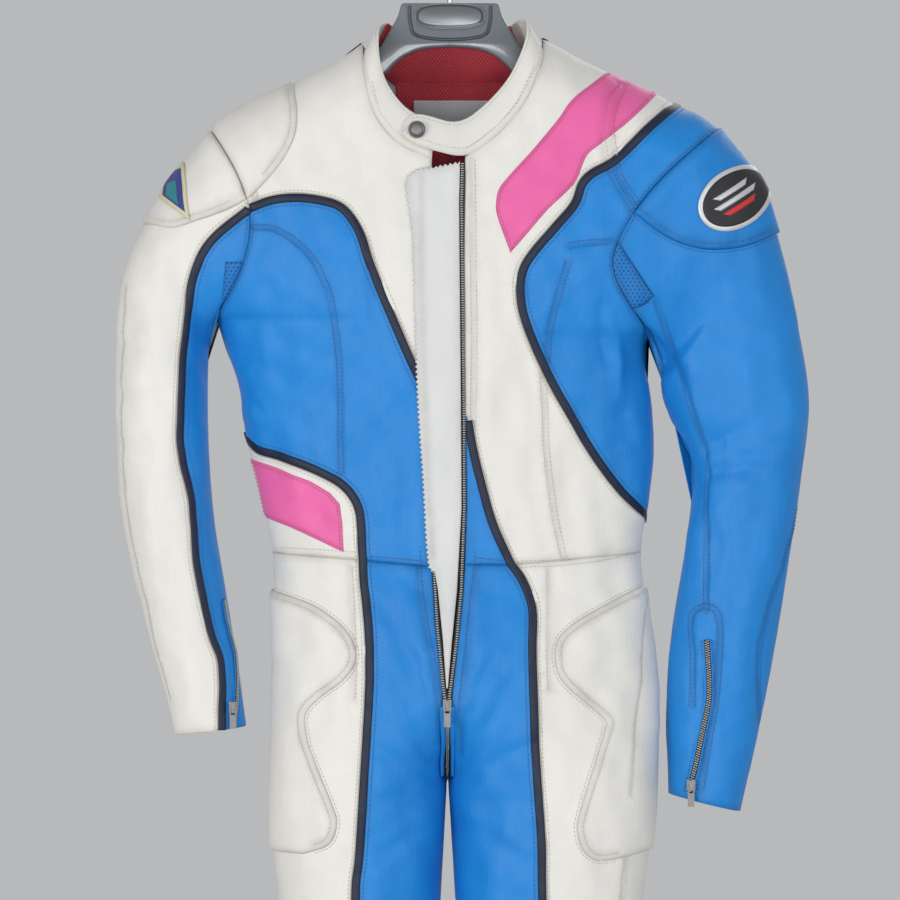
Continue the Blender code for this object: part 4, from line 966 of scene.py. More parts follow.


# Colours are cloth, dark cloth, and painted seam shade with dirt for leather; the numbers are
# roughness, grain and creases.
MATERIALS = {
    "red_felt": lambda: plain("badge_red", (0.62, 0.03, 0.035), 0.6, grain=0.6, scale=900),
    "white": lambda: leather("white_leather", (0.83, 0.82, 0.785), (0.74, 0.725, 0.68),
                             (0.36, 0.33, 0.25), 0.47),
    "blue": lambda: leather("blue_leather", (0.016, 0.275, 0.74), (0.010, 0.205, 0.60),
                            (0.004, 0.05, 0.16), 0.44, 1.1, 1.3),
    "net_blue": lambda: leather("punched_blue_leather", (0.018, 0.25, 0.70), (0.010, 0.17, 0.52),
                                (0.006, 0.05, 0.16), 0.5, 1.0, 0.4, True),
    "navy": lambda: leather("navy_leather", (0.016, 0.026, 0.062), (0.009, 0.015, 0.036),
                            (0.01, 0.01, 0.01), 0.45, 1.0, 0.5),
    "pink": lambda: leather("pink_leather", (0.87, 0.17, 0.43), (0.80, 0.13, 0.38),
                            (0.45, 0.08, 0.16), 0.42, 0.8, 0.4),
    "raw": lambda: plain("raw_edge", (0.42, 0.39, 0.34), 0.85, grain=0.6),
    "flap": lambda: leather("flap_leather", (0.76, 0.77, 0.765), (0.66, 0.67, 0.66),
                            (0.4, 0.4, 0.38), 0.6, 1.4, 0.2),
    "net_red": lambda: mesh_cloth("red_mesh", (0.86, 0.10, 0.13), (0.50, 0.03, 0.05), 0.0034),
    "label": lambda: plain("label_cloth", (0.88, 0.90, 0.93), 0.75, grain=0.5, scale=900),
    "tape": lambda: plain("zip_tape", (0.03, 0.034, 0.042), 0.75, grain=0.8, scale=900),
    "slider": lambda: plain("slider_metal", (0.17, 0.165, 0.16), 0.42, 1.0),
    "teeth": lambda: plain("zip_metal", (0.62, 0.60, 0.54), 0.34, 1.0),
    "thread_white": lambda: plain("thread_white", (0.60, 0.585, 0.52), 0.7),
    "thread_blue": lambda: plain("thread_blue", (0.035, 0.16, 0.42), 0.7),
    "thread_pink": lambda: plain("thread_pink", (0.62, 0.12, 0.30), 0.7),
    "snap": lambda: plain("snap_metal", (0.20, 0.19, 0.19), 0.45, 0.6, grain=0.5),
    "snap_rim": lambda: plain("snap_rim", (0.11, 0.105, 0.105), 0.35, 0.8),
    "plastic": lambda: plain("hanger_plastic", (0.15, 0.17, 0.19), 0.25, coat=0.4),
    "plastic_dark": lambda: plain("hanger_plastic_dark", (0.045, 0.052, 0.06), 0.35, coat=0.2),
    "plaque": lambda: plain("plaque", (0.17, 0.185, 0.2), 0.3, 0.6),
    "steel": lambda: plain("hook_steel", (0.56, 0.55, 0.53), 0.24, 1.0),
    "silver": lambda: plain("badge_silver", (0.62, 0.63, 0.64), 0.4, 0.4),
    "black": lambda: plain("badge_black", (0.016, 0.016, 0.018), 0.55, grain=0.5, scale=800),
    "cream": lambda: plain("badge_cream", (0.62, 0.60, 0.40), 0.6, grain=0.5, scale=800),
    "violet": lambda: plain("badge_violet", (0.035, 0.05, 0.24), 0.55, grain=0.5, scale=800),
    "teal": lambda: plain("badge_teal", (0.02, 0.22, 0.27), 0.5, grain=0.5, scale=800),
    "floor": lambda: plain("floor", (0.72, 0.715, 0.70), 0.75),
}


def join(*parts):
    """One outline from lines and single points, end to end."""
    return np.vstack([np.atleast_2d(np.asarray(part, float)) for part in parts])


def curve(line):
    """A smooth line through these points."""
    return spline(line, 5)


def moved(line, by):
    """A plan line moved sideways, to the left of its own direction as the plan is seen."""
    p = np.asarray(line, float)
    return p + aside(np.gradient(p, axis=0)) * by


def upto(points, z):
    """The points down to this level."""
    return points[points[:, 1] <= z]


def below(points, z):
    """The points from this level down."""
    return points[points[:, 1] >= z]


def build_fronts():
    """Yoke, chest and waist panels, between neck, armholes, zip and waist."""
    arch, waist, zip_left = curve(ARCH), curve(WAIST_BAND), np.array(ZIP_LEFT, float)
    hole = armhole(RIGHT, 41)
    meet = np.argmin(np.hypot(*(hole - arch[0]).T))
    arch = join(hole[meet], arch[1:])
    top, far_right = waist[0][1], (-PAST_SIDE, WAIST)
    panel("l_front_right_yoke", join(curve(NECK_RIGHT), arch[::-1], hole[:meet][::-1],
                                     (-240, 90), (-200, ABOVE_RIDGE), (-89, ABOVE_RIDGE)),
          "body", RIGHT, "white", grooves=(YOKE_LINE,))
    panel("l_front_right_chest", join(arch, ZIP_RIGHT[1], waist[::-1], (-PAST_SIDE, top),
                                      (-PAST_SIDE, OUTER[RIGHT][1][1]), hole[meet + 1:][::-1]),
          "body", RIGHT, "blue", grooves=(PRINCESS_RIGHT,))
    panel("l_front_right_waist", join(waist, far_right, (-PAST_SIDE, top)), "body", RIGHT,
          "white")
    hole = armhole(LEFT, 41)
    shoulder, wedge = curve(SHOULDER_BAND), curve(WEDGE_BAND)
    panel("l_front_left_centre",
          join(curve(NECK_LEFT), (94, ABOVE_RIDGE), (232, ABOVE_RIDGE), shoulder,
               (PAST_SIDE, 526), (PAST_SIDE, WAIST), wedge[::-1],
               upto(zip_left, 410)[1:][::-1]),
          "body", LEFT, "white", grooves=(PRINCESS_LOW, PLACKET, *PAD_LINES))
    panel("l_front_left_chest",
          join(shoulder[::-1], (PAST_SIDE, 96), hole, (PAST_SIDE, OUTER[LEFT][1][1]),
               (PAST_SIDE, 526)),
          "body", LEFT, "blue", grooves=(PRINCESS_LEFT, YOKE_LEFT, *PAD_LINES))
    lower = below(upto(zip_left, 560), 418)
    panel("l_front_left_wedge", join(wedge, WEDGE_FOOT, lower[::-1]), "body", LEFT, "blue")


def build_legs():
    """Leg fronts, from the waist seam down."""
    right, left = curve(THIGH_RIGHT), curve(THIGH_LEFT)
    zip_right, zip_left = np.array(ZIP_RIGHT, float), np.array(ZIP_LEFT, float)
    panel("l_leg_right_front_outer", join(right, (-PAST_SIDE, ANKLE), (-PAST_SIDE, WAIST)),
          "body", RIGHT, "white", grooves=(HIP_DART,), spacing=5)
    panel("l_leg_right_front_inner",
          join(right, (PAST_SEAM, ANKLE), (PAST_SEAM, 779), (-2.9, 779.6), (-6.2, 779.2),
               below(zip_right, 566)[:-1][::-1]), "body", RIGHT, "blue",
          grooves=(FACING_RIGHT,), spacing=5)
    panel("l_leg_left_front_outer", join(left, (PAST_SIDE, ANKLE), (PAST_SIDE, WAIST)),
          "body", LEFT, "white", grooves=(HIP_DART_LEFT, SIDE_LEFT[4:]), spacing=5)
    panel("l_leg_left_front_inner",
          join(left, (-PAST_SEAM, ANKLE), (-PAST_SEAM, 779), (-2.1, 779.6), (0.6, 779.2),
               below(zip_left, 590)[:-1][::-1], WEDGE_FOOT), "body", LEFT, "blue",
          grooves=(FACING_LEFT,), spacing=5)


def build_backs():
    """Centre and side panels of the back, and the leg backs."""
    for side, sign in SIGN.items():
        past, line = sign * PAST_SIDE, curve(BACK_SEAM[side])
        hole = armhole(side, 41)
        waist = float(BACK_SEAM[side][3][1])
        top, leg = upto(line, waist), below(line, waist)
        nape = np.array(NAPE) * (sign, 1)
        nape[0, 0] = CENTRE_X
        nape[-1] = NECK_RIGHT[0] if side == RIGHT else NECK_LEFT[-1]
        start, over_leg = (top[0][0], ABOVE_RIDGE), -sign * PAST_SEAM
        panel(f"l_back_{side}_centre",
              join(nape, (nape[-1][0], ABOVE_RIDGE), start, top, (CENTRE_X, waist)),
              "body", side, "white", BACK, spacing=6.5)
        panel(f"l_back_{side}_side",
              join(start, top, (past, waist), (past, hole[-1][1]), hole[::-1],
                   (hole[0][0], ABOVE_RIDGE)), "body", side, "blue", BACK, spacing=6.5)
        panel(f"l_leg_{side}_back_outer", join(leg, (past, ANKLE), (past, waist)),
              "body", side, "white", BACK, spacing=7)
        panel(f"l_leg_{side}_back_inner",
              join(leg, (over_leg, ANKLE), (over_leg, CROTCH), (CENTRE_X, CROTCH - 3),
                   (CENTRE_X, waist)), "body", side, "blue", BACK, spacing=7)


def build_sleeves():
    """Sleeve panels and underarm gussets."""
    band = curve(SLEEVE_BAND)
    panel("l_sleeve_right_outer", join(band, (-228, 760), (-400, 760), (-400, 90), (-199, 90)),
          "sleeve", RIGHT, "white", grooves=(ELBOW_LINE,))
    panel("l_sleeve_right_inner", join(band, (-228, 760), (-150, 760), (-150, 209)), "sleeve",
          RIGHT, "blue")
    panel("l_sleeve_right_back", ((-420, 60), (-420, 900), (-120, 900), (-120, 60)), "sleeve",
          RIGHT, "white", BACK, spacing=6.5)
    whole = ((120, 60), (120, 900), (440, 900), (440, 60))
    panel("l_sleeve_left_front", whole, "sleeve", LEFT, "blue",
          grooves=(SLEEVE_SEAM, SLEEVE_SEAM_BACK, CUFF_BOX))
    panel("l_sleeve_left_back", whole, "sleeve", LEFT, "blue", BACK, spacing=6.5)
    for side in (RIGHT, LEFT):
        panel(f"l_gusset_{side}", GUSSET[side], "sleeve", side, "net_blue", over=1.2,
              wall=THIN_WALL, spacing=3)


def build_bands():
    """Navy bands over the seams between colours, each with the raw edge of the panel beside it."""
    lines = (("band_arch", ARCH[:-1], "body", RIGHT, FRONT, -1),
             ("band_shoulder", SHOULDER_BAND, "body", LEFT, FRONT, 1),
             ("band_waist_right", WAIST_BAND[:-1] + THIGH_RIGHT, "body", RIGHT, FRONT, 1),
             ("band_leg_left", WEDGE_BAND[1:-1] + THIGH_LEFT, "body", LEFT, FRONT, -1),
             ("band_sleeve_right", SLEEVE_BAND, "sleeve", RIGHT, FRONT, 1),
             ("band_back_right", BACK_SEAM[RIGHT], "body", RIGHT, BACK, 0),
             ("band_back_left", BACK_SEAM[LEFT], "body", LEFT, BACK, 0))
    for name, line, kind, side, face, raw in lines:
        rows = line_on(kind, side, line, face, 3)
        thing = gathered(f"l_{name}", [ribbon(*rows, BAND_PROFILE)])
        finished(thing, "navy", (name,))
        if raw:
            edge = line_on(kind, side, line, face, 3, beside=-BAND_EDGE_OFF * raw)
            thing = gathered(f"l_{name}_edge", [ribbon(*edge, EDGE_PROFILE)])
            finished(thing, "raw")


def pad_outline(side, part):
    """The share of a shoulder pad that lies on the trunk, or on the sleeve, and the armhole
    line between them."""
    pad = np.array(SHOULDER_PAD[side], float)
    pad = join(pad[0], curve(pad[1:-1]), pad[-1])
    hole, sign = armhole(side, 61), SIGN[side]
    edge = np.interp(pad[:, 1], hole[:, 1], hole[:, 0])
    inside = sign * pad[:, 0] < sign * edge
    cross = int(np.nonzero(~inside)[0][0])
    steps = pad[cross - 1] + (pad[cross] - pad[cross - 1]) * np.linspace(0, 1, 200)[:, None]
    gap = np.abs(steps[:, 0] - np.interp(steps[:, 1], hole[:, 1], hole[:, 0]))
    meet = steps[np.argmin(gap)]
    shared = hole[hole[:, 1] < meet[1] - 1]
    above = hole[0] + np.array((0, -60))
    if part == "trunk":
        return join(pad[:cross], meet, shared[::-1], above)
    rest = pad[cross:-1]
    return join(meet, rest, (sign * 400, rest[-1][1]), (sign * 400, 60), above, shared)


def build_pads():
    """Padded hips and shoulders, each filled towards its stitched edge."""
    padded = {"over": WALL, "wall": PAD_WALL, "build": PADDED, "spacing": 4}
    for side, sign in SIGN.items():
        pad = HIP_PAD[side]
        outline = join(pad[0], curve(pad[1:-1]), pad[-1])
        inner = moved(curve(pad[1:-1]), HIP_INSET * sign)
        extra = () if side == RIGHT else (SIDE_LEFT[:4],)
        panel(f"l_pad_hip_{side}", outline, "body", side, "white", puff=(2.6, 12.0),
              grooves=(inner[::4],) + extra, seam_deep=1.1, **padded)
    line = moved(curve(SHOULDER_PAD[RIGHT][1:-1]), -PAD_INSET)
    panel("l_pad_yoke_right", pad_outline(RIGHT, "trunk"), "body", RIGHT, "white",
          puff=(1.9, 10.0), grooves=(upto(below(line, 66), 192)[::4],), **padded)
    for side, colour in ((RIGHT, "white"), (LEFT, "blue")):
        line = moved(curve(SHOULDER_PAD[side][1:-1]), PAD_INSET * SIGN[side])
        if side == LEFT:
            line = line[line[:, 1] > 205]  # the rest lies on the trunk
        panel(f"l_pad_shoulder_{side}", pad_outline(side, "sleeve"), "sleeve", side, colour,
              puff=(2.2, 10.0), grooves=(line[::4],), **padded)


def pink_outline():
    """The shoulder patch: two smooth edges that meet at its lower tip and along the shoulder."""
    tip = PINK_SHOULDER.index(PINK_TIP)
    return join(spline(PINK_SHOULDER[:tip + 1], 4), spline(PINK_SHOULDER[tip:], 4)[1:])


def build_patches():
    """Pink patches sewn on the shoulder and the waist."""
    panel("l_patch_shoulder", pink_outline(), "body", LEFT, "pink", over=1.3, wall=THIN_WALL,
          spacing=4, grooves=PAD_LINES)
    panel("l_patch_waist", PINK_WAIST, "body", RIGHT, "pink", over=1.3, wall=THIN_WALL,
          spacing=4)


def front_y(side, x, z):
    """The front's y at these places."""
    return -half_depth(side, FRONT, np.asarray(x, float), np.asarray(z, float))


def collar_edges():
    """The collar's lower and upper edges from its right end round the nape to the tab's end, and
    where the nape's stretch starts and stops."""
    right, left = spline(NECK_RIGHT, 5)[::-1], spline(NECK_LEFT, 5)
    nape = np.array(NAPE, float)
    back = spline(np.vstack([nape[:-1][::-1] * (-1, 1), nape[1:-1]]), 5)
    back_y = np.where(back[:, 0] < 0, half_depth(RIGHT, BACK, *back.T),
                      half_depth(LEFT, BACK, *back.T))
    base = np.vstack([np.column_stack([right[:, 0], front_y(RIGHT, *right.T), right[:, 1]]),
                      np.column_stack([back[:, 0], back_y, back[:, 1]]),
                      np.column_stack([left[:, 0], front_y(LEFT, *left.T), left[:, 1]])[::-1]])
    far = lengths(base)
    share = far / far[-1]
    table = np.array(COLLAR)
    lean = np.interp(share, table[:, 0], table[:, 1])
    rise = np.interp(share, table[:, 0], table[:, 2])
    toward = -base[:, :2] / np.linalg.norm(base[:, :2], axis=1)[:, None]
    top = base + np.column_stack([toward * lean[:, None], -rise])
    tab = spline(TAB, 5)
    low_y = np.interp(tab[:, 0], [-48, 15], [base[1, 1], base[-1, 1]]) - TAB_OUT
    low_y = np.minimum(low_y, min(base[0, 1], base[-1, 1]) - TAB_OUT * 0.6)
    low = np.column_stack([tab[:, 0], low_y, tab[:, 1]])
    high = np.column_stack([tab[:, 0], low_y + 11, tab[:, 2]])
    return (np.vstack([base, low]), np.vstack([top, high]), (len(right) - 1,
                                                             len(right) + len(back)))


def collar_frame():
    """The collar's foot, the way up and the way out along it, and its nape's stretch."""
    base, top, nape = collar_edges()
    base, top = smoothed(base, 3), smoothed(top, 4)
    up = top - base
    return base, up, unit(np.cross(np.gradient((base + top) / 2, axis=0), up)), nape


# Sections of the collar and its lining: columns share of the way up, out from the middle.
COLLAR_PROFILE = ((-0.07, 0.6), (0.1, 1.0), (0.16, 1.45), (0.3, 1.5), (0.6, 1.45), (0.84, 1.4),
                  (0.88, 1.05), (0.92, 1.35), (0.985, 1.0), (1.01, 0.0), (0.985, -1.0),
                  (0.9, -1.2), (0.5, -1.2), (-0.07, -1.1))
# Share of painted shade and dirt at each point of the section: most at the outer foot, then in the
# groove, at the rim and at the inner foot.
COLLAR_SHADE_AND_DIRT = (0.9, 0.5, 0.15, 0, 0, 0.15, 0.5, 0.2, 0.3, 0.5, 0.1, 0, 0, 0.4)
LINING_PROFILE = ((-0.16, -1.6), (0.99, -1.6), (1.02, -1.9), (0.99, -2.5), (-0.16, -2.5))


def build_collar():
    """Standing collar with rounded edge, its tab and snap, the net linings and the label."""
    base, up, normal, nape = collar_frame()
    stand = gathered("l_collar", [ribbon(base, normal, up, COLLAR_PROFILE)])
    painted(stand, np.tile(COLLAR_SHADE_AND_DIRT, len(base)))
    finished(stand, "white", ("collar",))
    back = slice(*nape)
    net = gathered("l_lining_collar", [ribbon(base[back], normal[back], up[back],
                                              LINING_PROFILE)])
    finished(net, "net_red", ("lining_collar",))
    panel("l_lining_nape", ((-56, 74), (56, 74), (46, 184), (-46, 184)), "centre", BACK,
          "net_red", BACK, over=-2.85, wall=THIN_WALL, spacing=5)
    panel("l_label", ((-37, 93), (45, 93), (45, 126), (-37, 126)), "centre", BACK, "label", BACK,
          over=-4.4, wall=THIN_WALL, spacing=4, seam_deep=0.2)
    build_snap(base, up)


def disc(centre, sizes, sides=36):
    """Rings round a y axis, from columns radius, out; closed."""
    angle = np.linspace(0, 2 * math.pi, sides, endpoint=False)
    rings = np.array([[(centre[0] + math.cos(a) * r, centre[1] - h, centre[2] + math.sin(a) * r)
                       for a in angle] for r, h in sizes])
    return skin(rings)


def build_snap(base, up):
    """The press stud on the tab."""
    x, z = SNAP_AT
    middle = base + up * 0.5
    near = np.argmin(np.hypot(middle[-20:, 0] - x, middle[-20:, 2] - z)) + len(middle) - 20
    y = min(base[near, 1], (base + up)[near, 1]) - 1.0
    rim = disc((x, y, z), ((8.5, -1), (8.5, 0.5), (7.9, 1.1), (6.9, 1.2), (6.4, 0.8), (0.5, 0.75)))
    cap = disc((x, y - 0.7, z), ((6.2, -0.4), (6.2, 0.3), (5.4, 0.9), (3.2, 1.25), (0.4, 1.35)))
    thing = gathered("l_snap", [rim])
    finished(thing, "snap_rim", ("snap",))
    return [thing, finished(gathered("l_snap_cap", [cap]), "snap")]


def pinked(line, pitch, deep):
    """A line cut in small points."""
    p = resampled(line, pitch / 2)
    return p + aside(np.gradient(p, axis=0)) * (np.arange(len(p)) % 2 * deep - deep / 2)[:, None]


def tooth(centre, forward, out, side, wide, long, tall):
    """A block that narrows a little towards its top."""
    corners = [centre + side * (a * wide / 2) + forward * (b * long / 2) + out * (c * tall)
               for c, k in ((0, 1), (1, 0.72)) for a, b in ((-k, -k), (k, -k), (k, k), (-k, k))]
    return corners, [[0, 1, 2, 3], [7, 6, 5, 4], [0, 4, 5, 1], [1, 5, 6, 2], [2, 6, 7, 3],
                     [3, 7, 4, 0]]


def teeth_along(kind, side, line, beside, over, wide=3.0, pitch=2.4, shift=0.0, long=1.25):
    """Metal teeth every `pitch` along a plan line."""
    rows = line_on(kind, side, line, FRONT, 1.0, over, False, beside)
    far = lengths(rows[0])
    at = np.arange(pitch / 2 + shift, far[-1], pitch)
    middle, out, across = (read_at(at, far, row) for row in rows)
    forward = unit(np.cross(out, across))
    return [tooth(*row, wide, long, TOOTH_TALL) for row in zip(middle, forward, out, across)]


TOOTH_TALL = 1.5
TAPE_PROFILE = ((-2.3, -1.1), (-2.3, 0.1), (2.3, 0.1), (2.3, -1.1))
LIP_PROFILE = ((-2.6, -0.8), (-2.5, 0.9), (-1.8, 1.4), (1.8, 1.4), (2.5, 0.9), (2.6, -0.8))


def build_zips():
    """Main zip, open down to its slider, its wind flap, and the two cuff zips."""
    right, left = np.array(ZIP_RIGHT, float), np.array(ZIP_LEFT, float)
    for side, edge, sign in ((RIGHT, right, 1), (LEFT, left, -1)):
        line = edge + (sign * 2.3, 0)
        line[:, 0] = np.minimum(line[:, 0], -4.9) if sign > 0 else np.maximum(line[:, 0], -0.5)
        line = join((line[0][0], 172), line[1:])
        rows = line_on("centre", side, line, FRONT, 4, curve=False)
        thing = gathered(f"l_zip_tape_{side}", [ribbon(*rows, TAPE_PROFILE)])
        finished(thing, "tape", (f"zip_tape_{side}",))
    open_right = join((-16, 172), (-16, 566), (-12.6, 625), (-6.2, 690), (-4.6, 700))
    open_left = join((12.4, 164), (11.4, 203), (12.0, 258), (13.0, 344), (14.0, 420),
                     (14.2, 507), (11.2, 590), (6.6, 640), (-0.4, 694), (-1.0, 700))
    chain = ((-2.8, 712), (-2.8, 776))
    parts = teeth_along("centre", RIGHT, open_right, 0.0, 0.3, 3.6) \
        + teeth_along("centre", LEFT, open_left, 0.0, 0.3, 3.6) \
        + teeth_along("centre", RIGHT, chain, 0.8, 1.0, 2.2, long=0.9) \
        + teeth_along("centre", RIGHT, chain, -0.8, 1.0, 2.2, shift=1.2, long=0.9)
    finished(gathered("l_zip_teeth", parts), "teeth")
    lips = [ribbon(*line_on("centre", RIGHT, ((x, 705), (x, 777)), FRONT, 3, 0.2, curve=False),
                   LIP_PROFILE) for x in (-7.6, 2.0)]
    finished(gathered("l_zip_lips", lips), "blue")
    top = pinked(((10, 164), (-12, 168)), 5.0, 2.4)
    outline = join(top, pinked(curve(FLAP_LEFT), 5.0, 2.4), FLAP_LOWER, FLAP_RIGHT)
    panel("l_wind_flap", outline, "centre", FRONT, "flap", over=2.9, wall=1.2, spacing=4,
          grooves=(FLAP_SEAM,), seam_deep=0.35)
    for side in (RIGHT, LEFT):
        line = CUFF_ZIP[side]
        rows = line_on("sleeve", side, line, FRONT, 3, over=1.0)
        thing = gathered(f"l_cuff_zip_{side}", [ribbon(*rows, TAPE_PROFILE)])
        finished(thing, "tape", (f"cuff_zip_{side}",))
        smooth_line = curve(line)
        parts = teeth_along("sleeve", side, smooth_line, 1.1, 1.1, 2.6) \
            + teeth_along("sleeve", side, smooth_line, -1.1, 1.1, 2.6, shift=1.2)
        finished(gathered(f"l_cuff_teeth_{side}", parts), "teeth")
        lips = [ribbon(*line_on("sleeve", side, line, FRONT, 3, 0.6, beside=b), EDGE_PROFILE)
                for b in (3.6, -3.6)]
        finished(gathered(f"l_cuff_lips_{side}", lips), "blue")


def build_badges():
    """A rimmed oval badge on the left shoulder and a bordered triangle on the right, both with a
    plain design."""
    angle = np.linspace(0, 2 * math.pi, 56, endpoint=False)
    turn = math.radians(BADGE_TURN)
    spin = np.array([[math.cos(turn), math.sin(turn)], [-math.sin(turn), math.cos(turn)]])
    circle = np.column_stack([np.cos(angle), np.sin(angle)])

    def oval(a, b):
        return (circle * (a, b)) @ spin + BADGE_AT

    def sewn(name, outline, side, colour, lift, nodes=()):
        panel(name, outline, "sleeve", side, colour, over=BADGE_OVER + lift, wall=THIN_WALL,
              spacing=3, nodes=nodes, seam_deep=0.3, build=PLAIN if nodes else EMBROIDERY)

    sewn("l_badge_left", oval(39.5, 29.5), LEFT, "silver", 0, ("badge_left",))
    sewn("l_badge_left_field", oval(35, 25), LEFT, "black", 0.8)
    for at, half, colour in ((-9, 19, "silver"), (0, 24, "silver"), (9, 19, "red_felt")):
        bar_line = np.array(((-half, at - 2.6), (half, at - 2.6), (half - 5, at + 2.6),
                             (5 - half, at + 2.6)))
        sewn(f"l_badge_left_bar{at}".replace("-", "_"), bar_line @ spin + BADGE_AT, LEFT, colour,
             1.4)
    triangle = np.array(BADGE_RIGHT, float)
    middle = triangle.mean(axis=0)
    sewn("l_badge_right", triangle, RIGHT, "cream", 0, ("badge_right",))
    sewn("l_badge_right_field", middle + (triangle - middle) * 0.74, RIGHT, "violet", 0.7)
    core = middle + (triangle - middle) * 0.42 + (-1, 4)
    sewn("l_badge_right_core", core, RIGHT, "teal", 1.2)


def bar(name, outline, y0, y1, bevel, colour, nodes=()):
    """An outline pushed through from y0 to y1, its edges rounded."""
    p = np.asarray(outline, float)
    count = len(p)
    points = [(x, y, z) for y in (y0, y1) for x, z in p]
    faces = [list(range(count)), list(range(2 * count - 1, count - 1, -1))]
    faces += [[i, (i + 1) % count, (i + 1) % count + count, i + count] for i in range(count)]
    thing = outward(mesh_object(name, place(points), faces))
    step = thing.modifiers.new("edges", "BEVEL")
    step.width, step.segments, step.limit_method = bevel * MM, 3, "ANGLE"
    step.harden_normals = False
    finished(thing, colour, nodes)


def tube(name, path, radius, colour, nodes=(), cyclic=False):
    """A round wire along points in suit millimetres."""
    line = bpy.data.curves.new(name, "CURVE")
    line.dimensions = "3D"
    line.bevel_depth = radius * MM
    line.bevel_resolution = 4
    line.use_fill_caps = not cyclic
    run = line.splines.new("POLY")
    run.points.add(len(path) - 1)
    run.use_cyclic_u = cyclic
    for point, spot in zip(run.points, place(path)):
        point.co = (*spot, 1)
    finished(linked(name, line), colour, nodes)


def build_hanger():
    """Broad hanger with a moulded frame and a bare plaque on its neck, and its wire hook."""
    neck, under = spline(HANGER_NECK, 5), spline(HANGER_UNDER, 5)
    outline = []
    for side in (LEFT, RIGHT):
        sign = SIGN[side]
        tip = abs(RIDGE[side][-1][0]) - 12
        out = np.linspace(112, tip, 16) * sign
        top = np.column_stack([out, RIDGE_Z[side](out) + ARM_BELOW_RIDGE])
        low = np.column_stack([out, top[:, 1] + HANGER_ARM_DEEP * np.linspace(1, 0.5, 16)])
        half = join(neck * (sign, 1), top, low[::-1], under * (sign, 1))
        outline.append(half if sign > 0 else half[::-1])
    outline = np.vstack([outline[0][:-1], outline[1]])
    bar("l_hanger", outline, -HANGER_THICK, HANGER_THICK, 3.2, "plastic", ("hanger",))
    frame_line = spline(((-41, 3), (-40, 20), (-33, 33), (0, 37), (33, 33), (40, 20), (41, 3)), 8)
    rib = np.column_stack([frame_line[:, 0], np.full(len(frame_line), -12.2), frame_line[:, 1]])
    tube("l_hanger_rib", rib, 1.7, "plastic_dark")
    angle = np.linspace(0, 2 * math.pi, 40, endpoint=False)
    round_x, round_z = (np.sign(f(angle)) * np.abs(f(angle)) ** 0.7 for f in (np.cos, np.sin))
    oval = np.column_stack([35 * round_x, 13.5 + 12.5 * round_z])
    bar("l_hanger_seat", oval, -13.0, -11, 0.8, "plastic_dark")
    bar("l_hanger_plaque", oval * (0.9, 0.78) + (0, 2.8), -13.6, -12, 0.5, "plaque")
    ring = np.column_stack([oval[:, 0], np.full(40, -12.9), oval[:, 1]])
    tube("l_hanger_ring", ring, 0.9, "plastic", cyclic=True)
    middle = HOOK_RADIUS + HOOK_WIRE
    turn = np.radians(np.linspace(-160, 62, 72))
    arc = np.column_stack([middle * np.sin(turn), HOOK_RADIUS - NECK_DROP - middle * np.cos(turn)])
    foot = spline((arc[-1], (8, -60), (2, -44), (0, -30), (0, -0.3)), 8)[1:]
    path = np.vstack([arc, foot])
    tube("l_hook", np.column_stack([path[:, 0], np.zeros(len(path)), path[:, 1]]), HOOK_WIRE,
         "steel", ("hook",))


def both_sides(kind, side, line, off=SEAM_OFF, rows=(1, -1)):
    """Threads along one or both sides of a seam."""
    return [part for sign in rows for part in stitches(kind, side, line, beside=off * sign)]


def beside_bands(*bands):
    """Threads beside bands, on the side that each sign says."""
    return [part for kind, side, line, sign in bands
            for part in stitches(kind, side, moved(curve(line), BAND_OFF * sign))]


